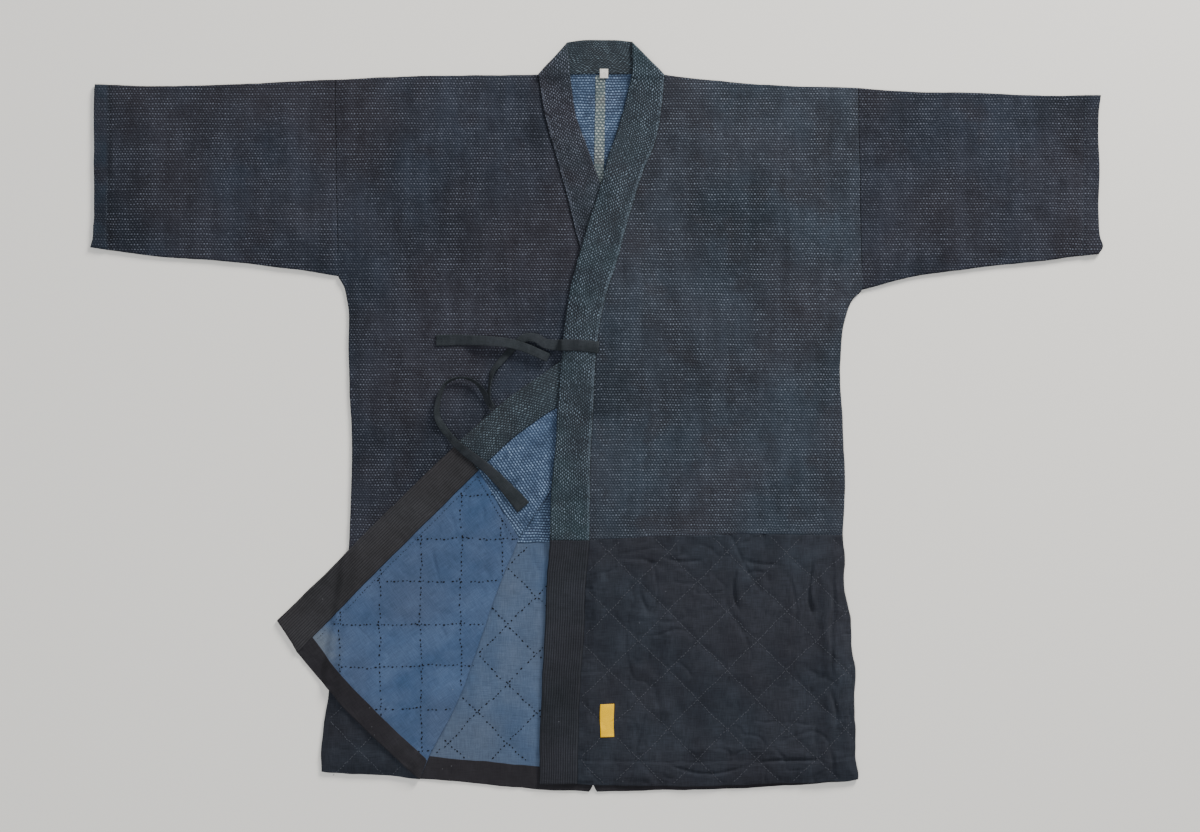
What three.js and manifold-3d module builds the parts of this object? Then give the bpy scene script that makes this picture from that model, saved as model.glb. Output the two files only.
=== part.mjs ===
// Kendo jacket laid flat and face up, with the lower part of its right front turned back.
// Millimetres, +Z up, X towards the wearer's left, Y towards the collar.
// The origin is under the middle of the jacket, on the surface that it lies on.
//
// Every flat layer is its outline, cut out of a slab between two height fields.
// All fields are read on one shared grid, so that a layer follows what it lies on
// at a constant gap. A fold joins two layers of the same piece along its edge.

import * as THREE from 'three';
import { mergeVertices } from 'three/addons/utils/BufferGeometryUtils.js';
import Module from 'manifold-3d';

const wasm = await Module();
wasm.setup();

// Driving dimensions

const GAP = 0.3;
const SASHIKO_THICKNESS = 2.4;
const SKIRT_THICKNESS = 1.6;
const BAND_THICKNESS = 4.5;
const HEM_LAYER = 0.8;
const HEM_WIDTH = 26;
const TIE_THICKNESS = 1.6;
const FOLD_WIDTH = 4;

const DIAMOND = 76.6;
const DIAMOND_CENTRE = { x: 131, y: -214 };
const PUFF = 0.7;

const GRID_STEP = DIAMOND / 4;
const REACH = 1.45 * GRID_STEP;
const RAMP = GRID_STEP;
const CUT_HEIGHT = 60;

const TAB = { x: 9, y: 444, width: 10, length: 9, thickness: 0.6 };

// Tables: one row for each place that was measured along an edge or a piece

function table(columns, rows) {
  return rows.map((row) => Object.fromEntries(row.map((value, i) => [columns[i], value])));
}

const point = (x, y) => ({ x, y });

const SHOULDER_RIGHT = table(['x', 'y'], [
  [-76, 443],
  [-242, 441],
  [-340, 437],
]);

const SHOULDER_LEFT = table(['x', 'y'], [
  [88, 443],
  [148, 436],
  [226, 430],
  [340, 426],
]);

const SLEEVE_RIGHT = table(['topX', 'topY', 'underX', 'underY'], [
  [-340, 437, -336, 182],
  [-405, 434, -405, 192],
  [-476, 431, -476, 200],
  [-577, 428, -577, 208],
  [-652, 428, -656, 220],
]);

const SLEEVE_LEFT = table(['topX', 'topY', 'underX', 'underY'], [
  [340, 426, 345, 164],
  [408, 421, 408, 180],
  [486, 420, 486, 191],
  [590, 416, 590, 203],
  [655, 415, 656, 209],
]);

const SIDE = table(['rightX', 'rightY', 'leftX', 'leftY'], [
  [-336, 182, 345, 164],
  [-328, 168, 333, 151],
  [-324, 150, 323, 125],
  [-322, 73, 317, 73],
  [-318, -31, 320, -18],
  [-319, -109, 323, -96],
  [-322, -172, 320, -155],
]);

const SKIRT_SIDE = table(['rightX', 'rightY', 'leftX', 'leftY'], [
  [-322, -172, 320, -155],
  [-327, -226, 323, -220],
  [-341, -304, 332, -291],
  [-349, -369, 336, -369],
  [-358, -441, 337, -428],
  [-358, -462, 340, -474],
]);

const WAIST_LEFT = table(['x', 'y'], [
  [-9, -161],
  [80, -156.5],
  [140, -154.5],
  [212, -153],
  [320, -155],
]);

const CENTRE_BACK = { neck: point(5, 443), waist: point(-1, -162), hem: point(-4, -481) };

const BACK_HEM_RIGHT = table(['x', 'y'], [
  [-358, -462],
  [-216, -472],
  [-125, -481],
  [-67, -486],
  [-9, -488],
]);

const BACK_HEM_LEFT = table(['x', 'y'], [
  [1, -488],
  [83, -486],
  [200, -483],
  [340, -474],
]);

const FRONT_HEM_LEFT = table(['x', 'y'], [
  [-25, -478],
  [57, -480],
  [135, -480],
  [239, -477],
  [340, -474],
]);

const NECK_BAND = table(['x', 'y'], [
  [-76, 443],
  [88, 443],
  [46, 486],
  [40, 488],
  [-32, 488],
  [-38, 485],
]);

const LAPEL_LEFT = table(['y', 'seam', 'free'], [
  [443, 88, 45.5],
  [390, 83, 33],
  [350, 75, 20],
  [325, 64, 13],
  [272, 46, -2],
  [205, 28, -25],
  [151, 11, -37],
  [91, 1, -43.5],
  [12, -4, -50],
  [-70, -8, -56],
  [-161, -9, -61],
]);

const LOWER_BAND_LEFT = table(['y', 'seam', 'free'], [
  [-161, -9, -61],
  [-213, -14, -64],
  [-304, -18, -68.5],
  [-377, -23, -72],
  [-478, -25, -75],
]);

const LAPEL_RIGHT = table(['y', 'seam', 'free'], [
  [443, -76, -34],
  [385, -66, -26],
  [330, -51, -5],
  [294, -41, 8],
  [239, -27, 26],
  [180, -12, 38],
  [138, -5, 45],
]);

const FOLD = table(['x', 'y'], [
  [45, 138],
  [-4.5, 27],
  [-63, -103],
  [-100, -158],
  [-128, -225],
  [-159, -316],
  [-181, -374],
  [-219, -447],
  [-229, -471],
]);
const FOLD_SEAM_ROW = 1;
const FOLD_WAIST_ROW = 3;

const TURNED_BAND = table(['freeX', 'freeY', 'seamX', 'seamY'], [
  [45, 138, -4.5, 27],
  [-51, 68, -52, 10],
  [-125, 14, -91, -15],
  [-180, -35, -153, -70],
  [-320, -172, -290, -207],
  [-415, -266, -389, -308],
]);
const TURNED_WAIST_ROW = 3;

const TURNED_HEM = table(['x', 'y'], [
  [-389, -308],
  [-349, -354],
  [-285, -420],
  [-229, -471],
]);

const TIE_RIGHT = table(['x', 'y', 'width'], [
  [-208, 98, 14],
  [-167, 98, 14],
  [-116, 96, 14],
  [-66, 78, 12],
]);

const TIE_LEFT = table(['x', 'y', 'width'], [
  [-12, 88, 18],
  [-32, 90, 16],
  [-80, 96, 14],
  [-106, 94, 13],
  [-135, 65, 13],
  [-138, 14, 9],
  [-152, 43, 8],
  [-186, 50, 12],
  [-205, 32, 12],
  [-207, -2, 10],
  [-180, -39, 12],
  [-151, -65, 13],
  [-98, -116, 20],
]);

// Outlines

const column = (rows, x, y) => rows.map((row) => point(row[x], row[y]));
const reversed = (points) => [...points].reverse();

const sideRight = column(SIDE, 'rightX', 'rightY');
const sideLeft = column(SIDE, 'leftX', 'leftY');
const skirtSideRight = column(SKIRT_SIDE, 'rightX', 'rightY');
const skirtSideLeft = column(SKIRT_SIDE, 'leftX', 'leftY');

const seamOf = (band) => column(band, 'seam', 'y');
const freeOf = (band) => column(band, 'free', 'y');
const foldSeam = FOLD[FOLD_SEAM_ROW];
const turnedFree = column(TURNED_BAND, 'freeX', 'freeY');
const turnedSeam = column(TURNED_BAND, 'seamX', 'seamY');

const backRight = [
  CENTRE_BACK.neck, ...SHOULDER_RIGHT, ...sideRight, CENTRE_BACK.waist,
];
const backLeft = [
  CENTRE_BACK.neck, ...SHOULDER_LEFT, ...sideLeft, CENTRE_BACK.waist,
];
const skirtBackRight = [
  CENTRE_BACK.waist, ...skirtSideRight, ...BACK_HEM_RIGHT.slice(1), CENTRE_BACK.hem,
];
const skirtBackLeft = [
  CENTRE_BACK.waist, ...skirtSideLeft, ...reversed(BACK_HEM_LEFT).slice(1), CENTRE_BACK.hem,
];
const frontRight = [
  ...reversed(SHOULDER_RIGHT), ...seamOf(LAPEL_RIGHT).slice(1),
  ...FOLD.slice(FOLD_SEAM_ROW, FOLD_WAIST_ROW + 1), ...reversed(sideRight),
];
const frontLeft = [
  ...reversed(SHOULDER_LEFT), ...seamOf(LAPEL_LEFT).slice(1), ...WAIST_LEFT.slice(1, -1),
  ...reversed(sideLeft),
];
const skirtFrontRight = [
  ...FOLD.slice(FOLD_WAIST_ROW), ...reversed(skirtSideRight),
];
const skirtFrontLeft = [
  ...seamOf(LOWER_BAND_LEFT), ...FRONT_HEM_LEFT.slice(1), ...reversed(skirtSideLeft).slice(1),
  ...reversed(WAIST_LEFT).slice(1, -1),
];
const turnedFront = [
  ...FOLD.slice(FOLD_SEAM_ROW, FOLD_WAIST_ROW + 1),
  ...reversed(turnedSeam.slice(1, TURNED_WAIST_ROW + 1)),
];
const turnedSkirt = [
  ...FOLD.slice(FOLD_WAIST_ROW), ...reversed(TURNED_HEM).slice(1),
  ...reversed(turnedSeam.slice(TURNED_WAIST_ROW)).slice(1),
];
const lapelLeft = [...seamOf(LAPEL_LEFT), ...reversed(freeOf(LAPEL_LEFT)), NECK_BAND[2]];
const lapelRight = [
  ...seamOf(LAPEL_RIGHT), foldSeam, ...reversed(freeOf(LAPEL_RIGHT)), NECK_BAND[5],
];
const lowerBandLeft = [...seamOf(LOWER_BAND_LEFT), ...reversed(freeOf(LOWER_BAND_LEFT))];
const turnedLapel = [
  ...turnedFree.slice(0, TURNED_WAIST_ROW + 1),
  ...reversed(turnedSeam.slice(0, TURNED_WAIST_ROW + 1)),
];
const lowerBandRight = [
  ...turnedFree.slice(TURNED_WAIST_ROW), ...reversed(turnedSeam.slice(TURNED_WAIST_ROW)),
];

// Whole layers, through the waist seams

const backWhole = [
  ...SHOULDER_LEFT, ...sideLeft, ...skirtSideLeft, ...reversed(BACK_HEM_LEFT),
  ...reversed(BACK_HEM_RIGHT), ...reversed(skirtSideRight), ...reversed(sideRight),
  ...reversed(SHOULDER_RIGHT),
];
const frontRightWhole = [
  ...reversed(SHOULDER_RIGHT), ...seamOf(LAPEL_RIGHT).slice(1), ...FOLD.slice(FOLD_SEAM_ROW),
  ...reversed(skirtSideRight), ...reversed(sideRight),
];
const frontLeftWhole = [
  ...reversed(SHOULDER_LEFT), ...seamOf(LAPEL_LEFT).slice(1), ...seamOf(LOWER_BAND_LEFT),
  ...FRONT_HEM_LEFT, ...reversed(skirtSideLeft), ...reversed(sideLeft),
];
const turnedWhole = [
  ...FOLD.slice(FOLD_SEAM_ROW), ...reversed(TURNED_HEM), ...reversed(turnedSeam),
];
const turnedBandWhole = [...turnedFree, ...reversed(turnedSeam)];

// A strip along an open edge, widening to the side that the sign gives
function strip(edge, width, sign) {
  const inner = edge.map((here, i) => {
    const before = edge[Math.max(i - 1, 0)];
    const after = edge[Math.min(i + 1, edge.length - 1)];
    const length = Math.hypot(after.x - before.x, after.y - before.y);
    const normal = point(-(after.y - before.y) / length, (after.x - before.x) / length);
    return point(here.x + sign * width * normal.x, here.y + sign * width * normal.y);
  });
  return [...edge, ...reversed(inner)];
}

// Parts the outline from its neighbours by half the seam gap on every side
function inset(outline, distance) {
  const area = THREE.ShapeUtils.area(outline);
  const loop = area > 0 ? outline : reversed(outline);
  const kept = loop.filter((here, i) => {
    const before = loop[(i + loop.length - 1) % loop.length];
    return Math.hypot(here.x - before.x, here.y - before.y) > 0.5;
  });
  return kept.map((here, i) => {
    const before = kept[(i + kept.length - 1) % kept.length];
    const after = kept[(i + 1) % kept.length];
    const first = new THREE.Vector2(here.x - before.x, here.y - before.y).normalize();
    const second = new THREE.Vector2(after.x - here.x, after.y - here.y).normalize();
    const mitre = new THREE.Vector2(-first.y - second.y, first.x + second.x).normalize();
    const spread = Math.max(mitre.x * -first.y + mitre.y * first.x, 0.3);
    return point(here.x + (mitre.x * distance) / spread, here.y + (mitre.y * distance) / spread);
  });
}

// Height fields

function distanceOutside(outline, x, y) {
  let inside = false;
  let nearest = Infinity;
  outline.forEach((a, i) => {
    const b = outline[(i + 1) % outline.length];
    if ((a.y > y) !== (b.y > y) && x < ((b.x - a.x) * (y - a.y)) / (b.y - a.y) + a.x) {
      inside = !inside;
    }
    const edge = point(b.x - a.x, b.y - a.y);
    const squared = edge.x ** 2 + edge.y ** 2;
    const along = squared > 0 ? ((x - a.x) * edge.x + (y - a.y) * edge.y) / squared : 0;
    const t = THREE.MathUtils.clamp(along, 0, 1);
    nearest = Math.min(nearest, Math.hypot(x - a.x - t * edge.x, y - a.y - t * edge.y));
  });
  return inside ? 0 : nearest;
}

// Height of the next layer's underside: it clears each piece below by the gap,
// a little past its outline too, and then ramps down to what that piece lies on.
function cover(base, pieces) {
  return (x, y) => {
    const rises = pieces.map(({ outline, thickness }) => {
      const past = distanceOutside(outline, x, y) - REACH;
      return (thickness + GAP) * (1 - THREE.MathUtils.smoothstep(past, 0, RAMP));
    });
    return base(x, y) + Math.max(...rises);
  };
}

const raised = (base, height) => (x, y) => base(x, y) + height;

// Diamond quilting: zero on the stitched lines and highest in the middle of a square
function quilting(x, y) {
  const along = (x - DIAMOND_CENTRE.x + y - DIAMOND_CENTRE.y) / DIAMOND;
  const across = (x - DIAMOND_CENTRE.x - y + DIAMOND_CENTRE.y) / DIAMOND;
  return PUFF * Math.abs(Math.sin(Math.PI * along) * Math.sin(Math.PI * across));
}

const quilted = (base) => (x, y) => base(x, y) + SKIRT_THICKNESS + quilting(x, y);

const floor = () => 0;
const layer = (outline, thickness) => ({ outline, thickness });

const overBack = cover(floor, [
  layer(backWhole, SASHIKO_THICKNESS),
  layer(NECK_BAND, BAND_THICKNESS),
]);
const overRight = cover(overBack, [
  layer(frontRightWhole, SASHIKO_THICKNESS),
  layer(lapelRight, BAND_THICKNESS),
]);
const overTurned = cover(overRight, [
  layer(turnedWhole, SASHIKO_THICKNESS),
  layer(turnedBandWhole, BAND_THICKNESS),
]);
const overLeft = cover(overTurned, [
  layer(frontLeftWhole, SASHIKO_THICKNESS),
  layer(lapelLeft, BAND_THICKNESS),
]);

// Solids

function toSolid(geometry) {
  geometry.deleteAttribute('normal');
  geometry.deleteAttribute('uv');
  const merged = mergeVertices(geometry, 1e-4);
  return new wasm.Manifold(new wasm.Mesh({
    numProp: 3,
    vertProperties: new Float32Array(merged.attributes.position.array),
    triVerts: new Uint32Array(merged.index.array),
  }));
}

function toGeometry(solid) {
  const { vertProperties, triVerts } = solid.getMesh();
  const geometry = new THREE.BufferGeometry();
  geometry.setAttribute('position', new THREE.BufferAttribute(vertProperties, 3));
  geometry.setIndex(new THREE.BufferAttribute(triVerts, 1));
  geometry.computeVertexNormals();
  return geometry;
}

// Grid lines over a range of values, counted in steps from the quilting's centre
function gridLines(values, centre) {
  const first = Math.floor((Math.min(...values) - centre) / GRID_STEP);
  const last = Math.ceil((Math.max(...values) - centre) / GRID_STEP);
  return Array.from({ length: last - first + 1 }, (_, i) => first + i);
}

// Slab between two height fields, over the grid squares that hold the outline.
// A line between two others with the same heights is left out, and the diagonals
// alternate, so that the lines of the quilting lie on edges.
function slab(outline, bottom, top) {
  const place = (col, row) => point(
    DIAMOND_CENTRE.x + col * GRID_STEP,
    DIAMOND_CENTRE.y + row * GRID_STEP,
  );
  const heights = new Map();
  const heightsAt = (col, row) => {
    const key = `${col} ${row}`;
    if (!heights.has(key)) {
      const { x, y } = place(col, row);
      heights.set(key, [bottom(x, y), top(x, y)]);
    }
    return heights.get(key);
  };
  const alike = (a, b) => a.every((value, level) => Math.abs(value - b[level]) < 1e-6);
  const allColumns = gridLines(outline.map(({ x }) => x), DIAMOND_CENTRE.x);
  const allRows = gridLines(outline.map(({ y }) => y), DIAMOND_CENTRE.y);
  const needed = (lines, others, at) => lines.filter((line, i) => (
    i === 0 || i === lines.length - 1 || others.some((other) => (
      !alike(at(line, other), at(line - 1, other)) || !alike(at(line, other), at(line + 1, other))
    ))
  ));
  const columns = needed(allColumns, allRows, (col, row) => heightsAt(col, row));
  const rows = needed(allRows, allColumns, (row, col) => heightsAt(col, row));

  const positions = [0, 1].flatMap((level) => rows.flatMap((row) => columns.flatMap((col) => {
    const { x, y } = place(col, row);
    return [x, y, heightsAt(col, row)[level]];
  })));
  const across = columns.length;
  const up = rows.length;
  const level = across * up;
  const index = [];
  const quad = (a, b, c, d, even) => {
    index.push(...(even ? [a, b, c, a, c, d] : [a, b, d, b, c, d]));
  };
  for (let j = 0; j < up - 1; j++) {
    for (let i = 0; i < across - 1; i++) {
      const a = j * across + i;
      const even = (columns[i] + rows[j]) % 2 === 0;
      const [b, c, d] = [a + 1, a + across + 1, a + across];
      quad(level + a, level + b, level + c, level + d, even);
      quad(a, d, c, b, even);
    }
  }
  const rim = [
    ...Array.from({ length: across - 1 }, (_, i) => i),
    ...Array.from({ length: up - 1 }, (_, j) => j * across + across - 1),
    ...Array.from({ length: across - 1 }, (_, i) => level - 1 - i),
    ...Array.from({ length: up - 1 }, (_, j) => (up - 1 - j) * across),
  ];
  rim.forEach((here, i) => {
    const next = rim[(i + 1) % rim.length];
    quad(here, next, level + next, level + here, true);
  });
  const geometry = new THREE.BufferGeometry();
  geometry.setAttribute('position', new THREE.Float32BufferAttribute(positions, 3));
  geometry.setIndex(index);
  return toSolid(geometry);
}

function prism(outline) {
  const shape = new THREE.Shape(outline.map(({ x, y }) => new THREE.Vector2(x, y)));
  const geometry = new THREE.ExtrudeGeometry(shape, { depth: CUT_HEIGHT, bevelEnabled: false });
  geometry.translate(0, 0, -CUT_HEIGHT / 4);
  return toSolid(geometry);
}

function cloth(outline, bottom, top) {
  const cut = inset(outline, GAP / 2);
  return slab(cut, bottom, top).intersect(prism(cut));
}

// Strip along an edge of a panel, kept inside the panel's own outline
function edging(panel, edge, width, sign, bottom, top) {
  return slab(panel, bottom, top)
    .intersect(prism(strip(edge, width, sign)))
    .intersect(prism(inset(panel, GAP / 2)));
}

// Folded edge: it fills the gap between the two layers that it joins
function foldedEdge(lower, upper, edge, sign, bottom, top) {
  const filling = edging(lower, edge, FOLD_WIDTH, sign, bottom, top);
  return filling.intersect(prism(inset(upper, GAP / 2)));
}

const joined = (solids) => solids.reduce((sum, solid) => sum.add(solid));

// Flattened tube: at each row an outer loop with round ends and a slit inside it. The first row lies
// on the armhole, half a gap out from it, because the body's edge lies half a gap in.
function sleeve(rows) {
  const radius = SASHIKO_THICKNESS + GAP / 2;
  const loop = (row, size) => {
    const top = point(row.topX, row.topY);
    const under = point(row.underX, row.underY);
    const length = Math.hypot(top.x - under.x, top.y - under.y);
    const along = point((top.x - under.x) / length, (top.y - under.y) / length);
    const ends = [{ centre: top, sign: 1 }, { centre: under, sign: -1 }];
    return ends.flatMap(({ centre, sign }) => [-90, -45, 0, 45, 90].map((degrees) => {
      const angle = THREE.MathUtils.degToRad(degrees);
      const out = sign * (size * Math.cos(angle) - radius);
      return [
        centre.x + out * along.x,
        centre.y + out * along.y,
        radius + sign * size * Math.sin(angle),
      ];
    }));
  };
  const outward = rows[0].topX > 0 ? 1 : -1;
  const seam = { ...rows[0] };
  seam.topX += outward * GAP / 2;
  seam.underX += outward * GAP / 2;
  const spaced = [seam, ...rows.slice(1)];
  const stations = outward > 0 ? spaced : reversed(spaced);
  const loops = stations.flatMap((row) => [loop(row, radius), loop(row, GAP / 2)]);
  const sides = loops[0].length;
  const index = [];
  const band = (a, b) => {
    for (let i = 0; i < sides; i++) {
      const next = (i + 1) % sides;
      const [p, q, r, s] = [a * sides + i, a * sides + next, b * sides + next, b * sides + i];
      index.push(p, q, r, p, r, s);
    }
  };
  for (let i = 0; i < rows.length - 1; i++) {
    band(2 * i, 2 * i + 2);
    band(2 * i + 3, 2 * i + 1);
  }
  band(1, 0);
  band(loops.length - 2, loops.length - 1);
  const geometry = new THREE.BufferGeometry();
  geometry.setAttribute('position', new THREE.Float32BufferAttribute(loops.flat(2), 3));
  geometry.setIndex(index);
  return toSolid(geometry);
}

// Tape along its route: each stretch is a tapered strip with a round joint at its end
function tape(rows, bottom) {
  const stretches = rows.slice(1).map((end, i) => {
    const start = rows[i];
    const angle = Math.atan2(end.y - start.y, end.x - start.x);
    const shape = new THREE.Shape();
    const quarter = Math.PI / 2;
    shape.absarc(end.x, end.y, end.width / 2, angle - quarter, angle + quarter, false);
    shape.absarc(start.x, start.y, start.width / 2, angle + quarter, angle + 3 * quarter, false);
    return cloth(shape.getPoints(3), bottom, raised(bottom, TIE_THICKNESS));
  });
  return joined(stretches);
}

// Pieces

function bodyRight() {
  const frontFold = FOLD.slice(FOLD_SEAM_ROW, FOLD_WAIST_ROW + 1);
  const foldTop = raised(overRight, SASHIKO_THICKNESS);
  return joined([
    cloth(backRight, floor, raised(floor, SASHIKO_THICKNESS)),
    cloth(frontRight, overBack, raised(overBack, SASHIKO_THICKNESS)),
    foldedEdge(backRight, frontRight, SHOULDER_RIGHT, 1, floor, raised(overBack, SASHIKO_THICKNESS)),
    cloth(turnedFront, overRight, foldTop),
    foldedEdge(frontRight, turnedFront, frontFold, -1, overBack, foldTop),
  ]);
}

function bodyLeft() {
  return joined([
    cloth(backLeft, floor, raised(floor, SASHIKO_THICKNESS)),
    cloth(frontLeft, overTurned, raised(overTurned, SASHIKO_THICKNESS)),
    foldedEdge(backLeft, frontLeft, SHOULDER_LEFT, -1, floor, raised(overTurned, SASHIKO_THICKNESS)),
  ]);
}

function skirtBack(panel, hem) {
  const top = raised(floor, SKIRT_THICKNESS);
  return joined([
    cloth(panel, floor, top),
    edging(panel, hem, HEM_WIDTH, 1, floor, raised(top, HEM_LAYER)),
  ]);
}

function skirtRight() {
  const skirtFold = FOLD.slice(FOLD_WAIST_ROW);
  const turnedTop = raised(overRight, SKIRT_THICKNESS);
  return joined([
    cloth(skirtFrontRight, overBack, quilted(overBack)),
    cloth(turnedSkirt, overRight, turnedTop),
    edging(turnedSkirt, TURNED_HEM, HEM_WIDTH, 1, overRight, raised(turnedTop, HEM_LAYER)),
    foldedEdge(skirtFrontRight, turnedSkirt, skirtFold, -1, overBack, turnedTop),
  ]);
}

function collar() {
  const neckTop = raised(floor, BAND_THICKNESS);
  const rightTop = raised(overBack, BAND_THICKNESS);
  const turnedTop = raised(overRight, BAND_THICKNESS);
  const leftTop = raised(overTurned, BAND_THICKNESS);
  const rightEdge = [NECK_BAND[5], NECK_BAND[0]];
  const leftEdge = [NECK_BAND[1], NECK_BAND[2]];
  const bandFold = FOLD.slice(0, FOLD_SEAM_ROW + 1);
  return joined([
    cloth(NECK_BAND, floor, neckTop),
    cloth(lapelRight, overBack, rightTop),
    cloth(lapelLeft, overTurned, leftTop),
    cloth(turnedLapel, overRight, turnedTop),
    foldedEdge(NECK_BAND, lapelRight, rightEdge, 1, floor, rightTop),
    foldedEdge(NECK_BAND, lapelLeft, leftEdge, 1, floor, leftTop),
    foldedEdge(lapelRight, turnedLapel, bandFold, -1, overBack, turnedTop),
  ]);
}

function neckTab() {
  const half = { x: TAB.width / 2, y: TAB.length / 2 };
  const corners = [
    point(TAB.x - half.x, TAB.y - half.y),
    point(TAB.x + half.x, TAB.y - half.y),
    point(TAB.x + half.x, TAB.y + half.y),
    point(TAB.x - half.x, TAB.y + half.y),
  ];
  return cloth(corners, overBack, raised(overBack, TAB.thickness));
}

const tieRight = tape(TIE_RIGHT, overLeft);
const overRightTie = cover(overLeft, [layer(strip(TIE_RIGHT, 1, 1), TIE_THICKNESS)]);

function skirtLeft() {
  return cloth(skirtFrontLeft, overTurned, quilted(overTurned));
}

function lowerBand(outline, bottom) {
  return cloth(outline, bottom, raised(bottom, BAND_THICKNESS));
}

// Finishes

function finish(color, roughness) {
  return new THREE.MeshStandardMaterial({ color, roughness, metalness: 0 });
}

const sashiko = finish(0x20242f, 0.9);
const quiltedCotton = finish(0x1c1f29, 0.88);
const plainBand = finish(0x1f2424, 0.85);
const tapeCotton = finish(0x26302f, 0.8);
const whiteTape = finish(0xd8d8d2, 0.8);

const jacket = new THREE.Group();

function addPiece(name, solid, material) {
  const mesh = new THREE.Mesh(toGeometry(solid), material);
  mesh.name = name;
  jacket.add(mesh);
}

addPiece('body_right', bodyRight(), sashiko);
addPiece('body_left', bodyLeft(), sashiko);
addPiece('sleeve_right', sleeve(SLEEVE_RIGHT), sashiko);
addPiece('sleeve_left', sleeve(SLEEVE_LEFT), sashiko);
addPiece('skirt_back_right', skirtBack(skirtBackRight, BACK_HEM_RIGHT), quiltedCotton);
addPiece('skirt_back_left', skirtBack(skirtBackLeft, BACK_HEM_LEFT), quiltedCotton);
addPiece('skirt_front_right', skirtRight(), quiltedCotton);
addPiece('skirt_front_left', skirtLeft(), quiltedCotton);
addPiece('collar', collar(), sashiko);
addPiece('collar_lower_left', lowerBand(lowerBandLeft, overTurned), plainBand);
addPiece('collar_lower_right', lowerBand(lowerBandRight, overRight), plainBand);
addPiece('tie_right', tieRight, tapeCotton);
addPiece('tie_left', tape(TIE_LEFT, overRightTie), tapeCotton);
addPiece('neck_tab', neckTab(), whiteTape);

export default jacket;
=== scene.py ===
"""Kendo jacket laid flat and face up, its right front turned back to show the blue inside.

Shapes are worked out in millimetres and put into meshes in metres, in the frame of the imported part.
Each layer of cloth is a wall over a grid that is stretched between four sides, with rounded edges.
A layer's underside follows what it lies on, so that the thick bands lift the front that crosses them.
"""

import math

import bmesh
import bpy
import numpy as np
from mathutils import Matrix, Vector


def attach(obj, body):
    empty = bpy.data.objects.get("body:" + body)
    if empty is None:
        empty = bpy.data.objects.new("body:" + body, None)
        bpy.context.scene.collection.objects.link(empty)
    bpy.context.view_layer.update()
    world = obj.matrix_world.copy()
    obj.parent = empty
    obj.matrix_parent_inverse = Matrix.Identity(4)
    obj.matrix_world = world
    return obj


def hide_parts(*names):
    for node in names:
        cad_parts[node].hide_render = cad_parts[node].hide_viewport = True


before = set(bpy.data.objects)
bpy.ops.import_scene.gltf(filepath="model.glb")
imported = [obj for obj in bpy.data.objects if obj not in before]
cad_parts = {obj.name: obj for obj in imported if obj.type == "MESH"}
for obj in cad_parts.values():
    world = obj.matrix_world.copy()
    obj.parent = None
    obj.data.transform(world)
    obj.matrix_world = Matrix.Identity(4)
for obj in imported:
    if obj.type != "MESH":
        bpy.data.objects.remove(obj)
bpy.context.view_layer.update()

MM = 0.001
SEED = 11

# Cloth thicknesses, the clearance between layers, how far apart the lower bands' rows of stitching are,
# and the places of the grid's lines beside an edge

SASHIKO = 2.2
SKIRT = 1.3
BAND = 4.3
CLEARANCE = 0.35
HEM_LAYER = 0.8
TAPE = 1.1
ROW_PITCH = 3.1
EDGE_OFFSETS = (0, 0.12, 0.4, 0.9, 1.5, 2.2, 3.4)

# Outlines, in millimetres: places along the edges. Right and left are the wearer's.

SHOULDER_RIGHT = [(-76, 443), (-160, 442), (-242, 441), (-340, 437)]
SHOULDER_LEFT = [(88, 443), (148, 436), (226, 430), (340, 426)]
SIDE_RIGHT = [(-322, -172), (-319, -109), (-318, -31), (-322, 73), (-324, 150), (-328, 168), (-336, 182)]
SIDE_LEFT = [(320, -155), (323, -96), (320, -18), (317, 73), (323, 125), (333, 151), (345, 164)]
ARMHOLE_RIGHT = [(-336, 182), (-336.6, 220), (-338, 310), (-339.5, 400), (-340, 437)]
ARMHOLE_LEFT = [(345, 164), (344, 200), (342.5, 295), (340.5, 390), (340, 426)]
WAIST_RIGHT = [(-322, -172), (-230, -167), (-160, -162), (-100, -158)]
WAIST_LEFT = [(-9, -161), (80, -156.5), (140, -154.5), (212, -153), (320, -155)]
SKIRT_SIDE_RIGHT = [(-358, -462), (-358, -441), (-349, -369), (-341, -304), (-327, -226), (-322, -172)]
SKIRT_SIDE_LEFT = [(340, -474), (337, -428), (336, -369), (332, -291), (323, -220), (320, -155)]
VENT_RIGHT = [(-9, -488), (-4.4, -479), (-4, -470), (-1, -162)]
VENT_LEFT = [(1, -488), (-3.6, -479), (-4, -470), (-1, -162)]
BACK_HEM_RIGHT = [(-358, -462), (-216, -472), (-125, -481), (-67, -486), (-9, -488)]
BACK_HEM_LEFT = [(1, -488), (83, -486), (200, -483), (340, -474)]
FRONT_HEM_LEFT = [(-25, -478), (57, -480), (135, -480), (239, -477), (340, -474)]
NECK_TOP = [(-38, 485.2), (-17, 487.8), (4, 488), (25, 487.8), (46, 486)]

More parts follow.
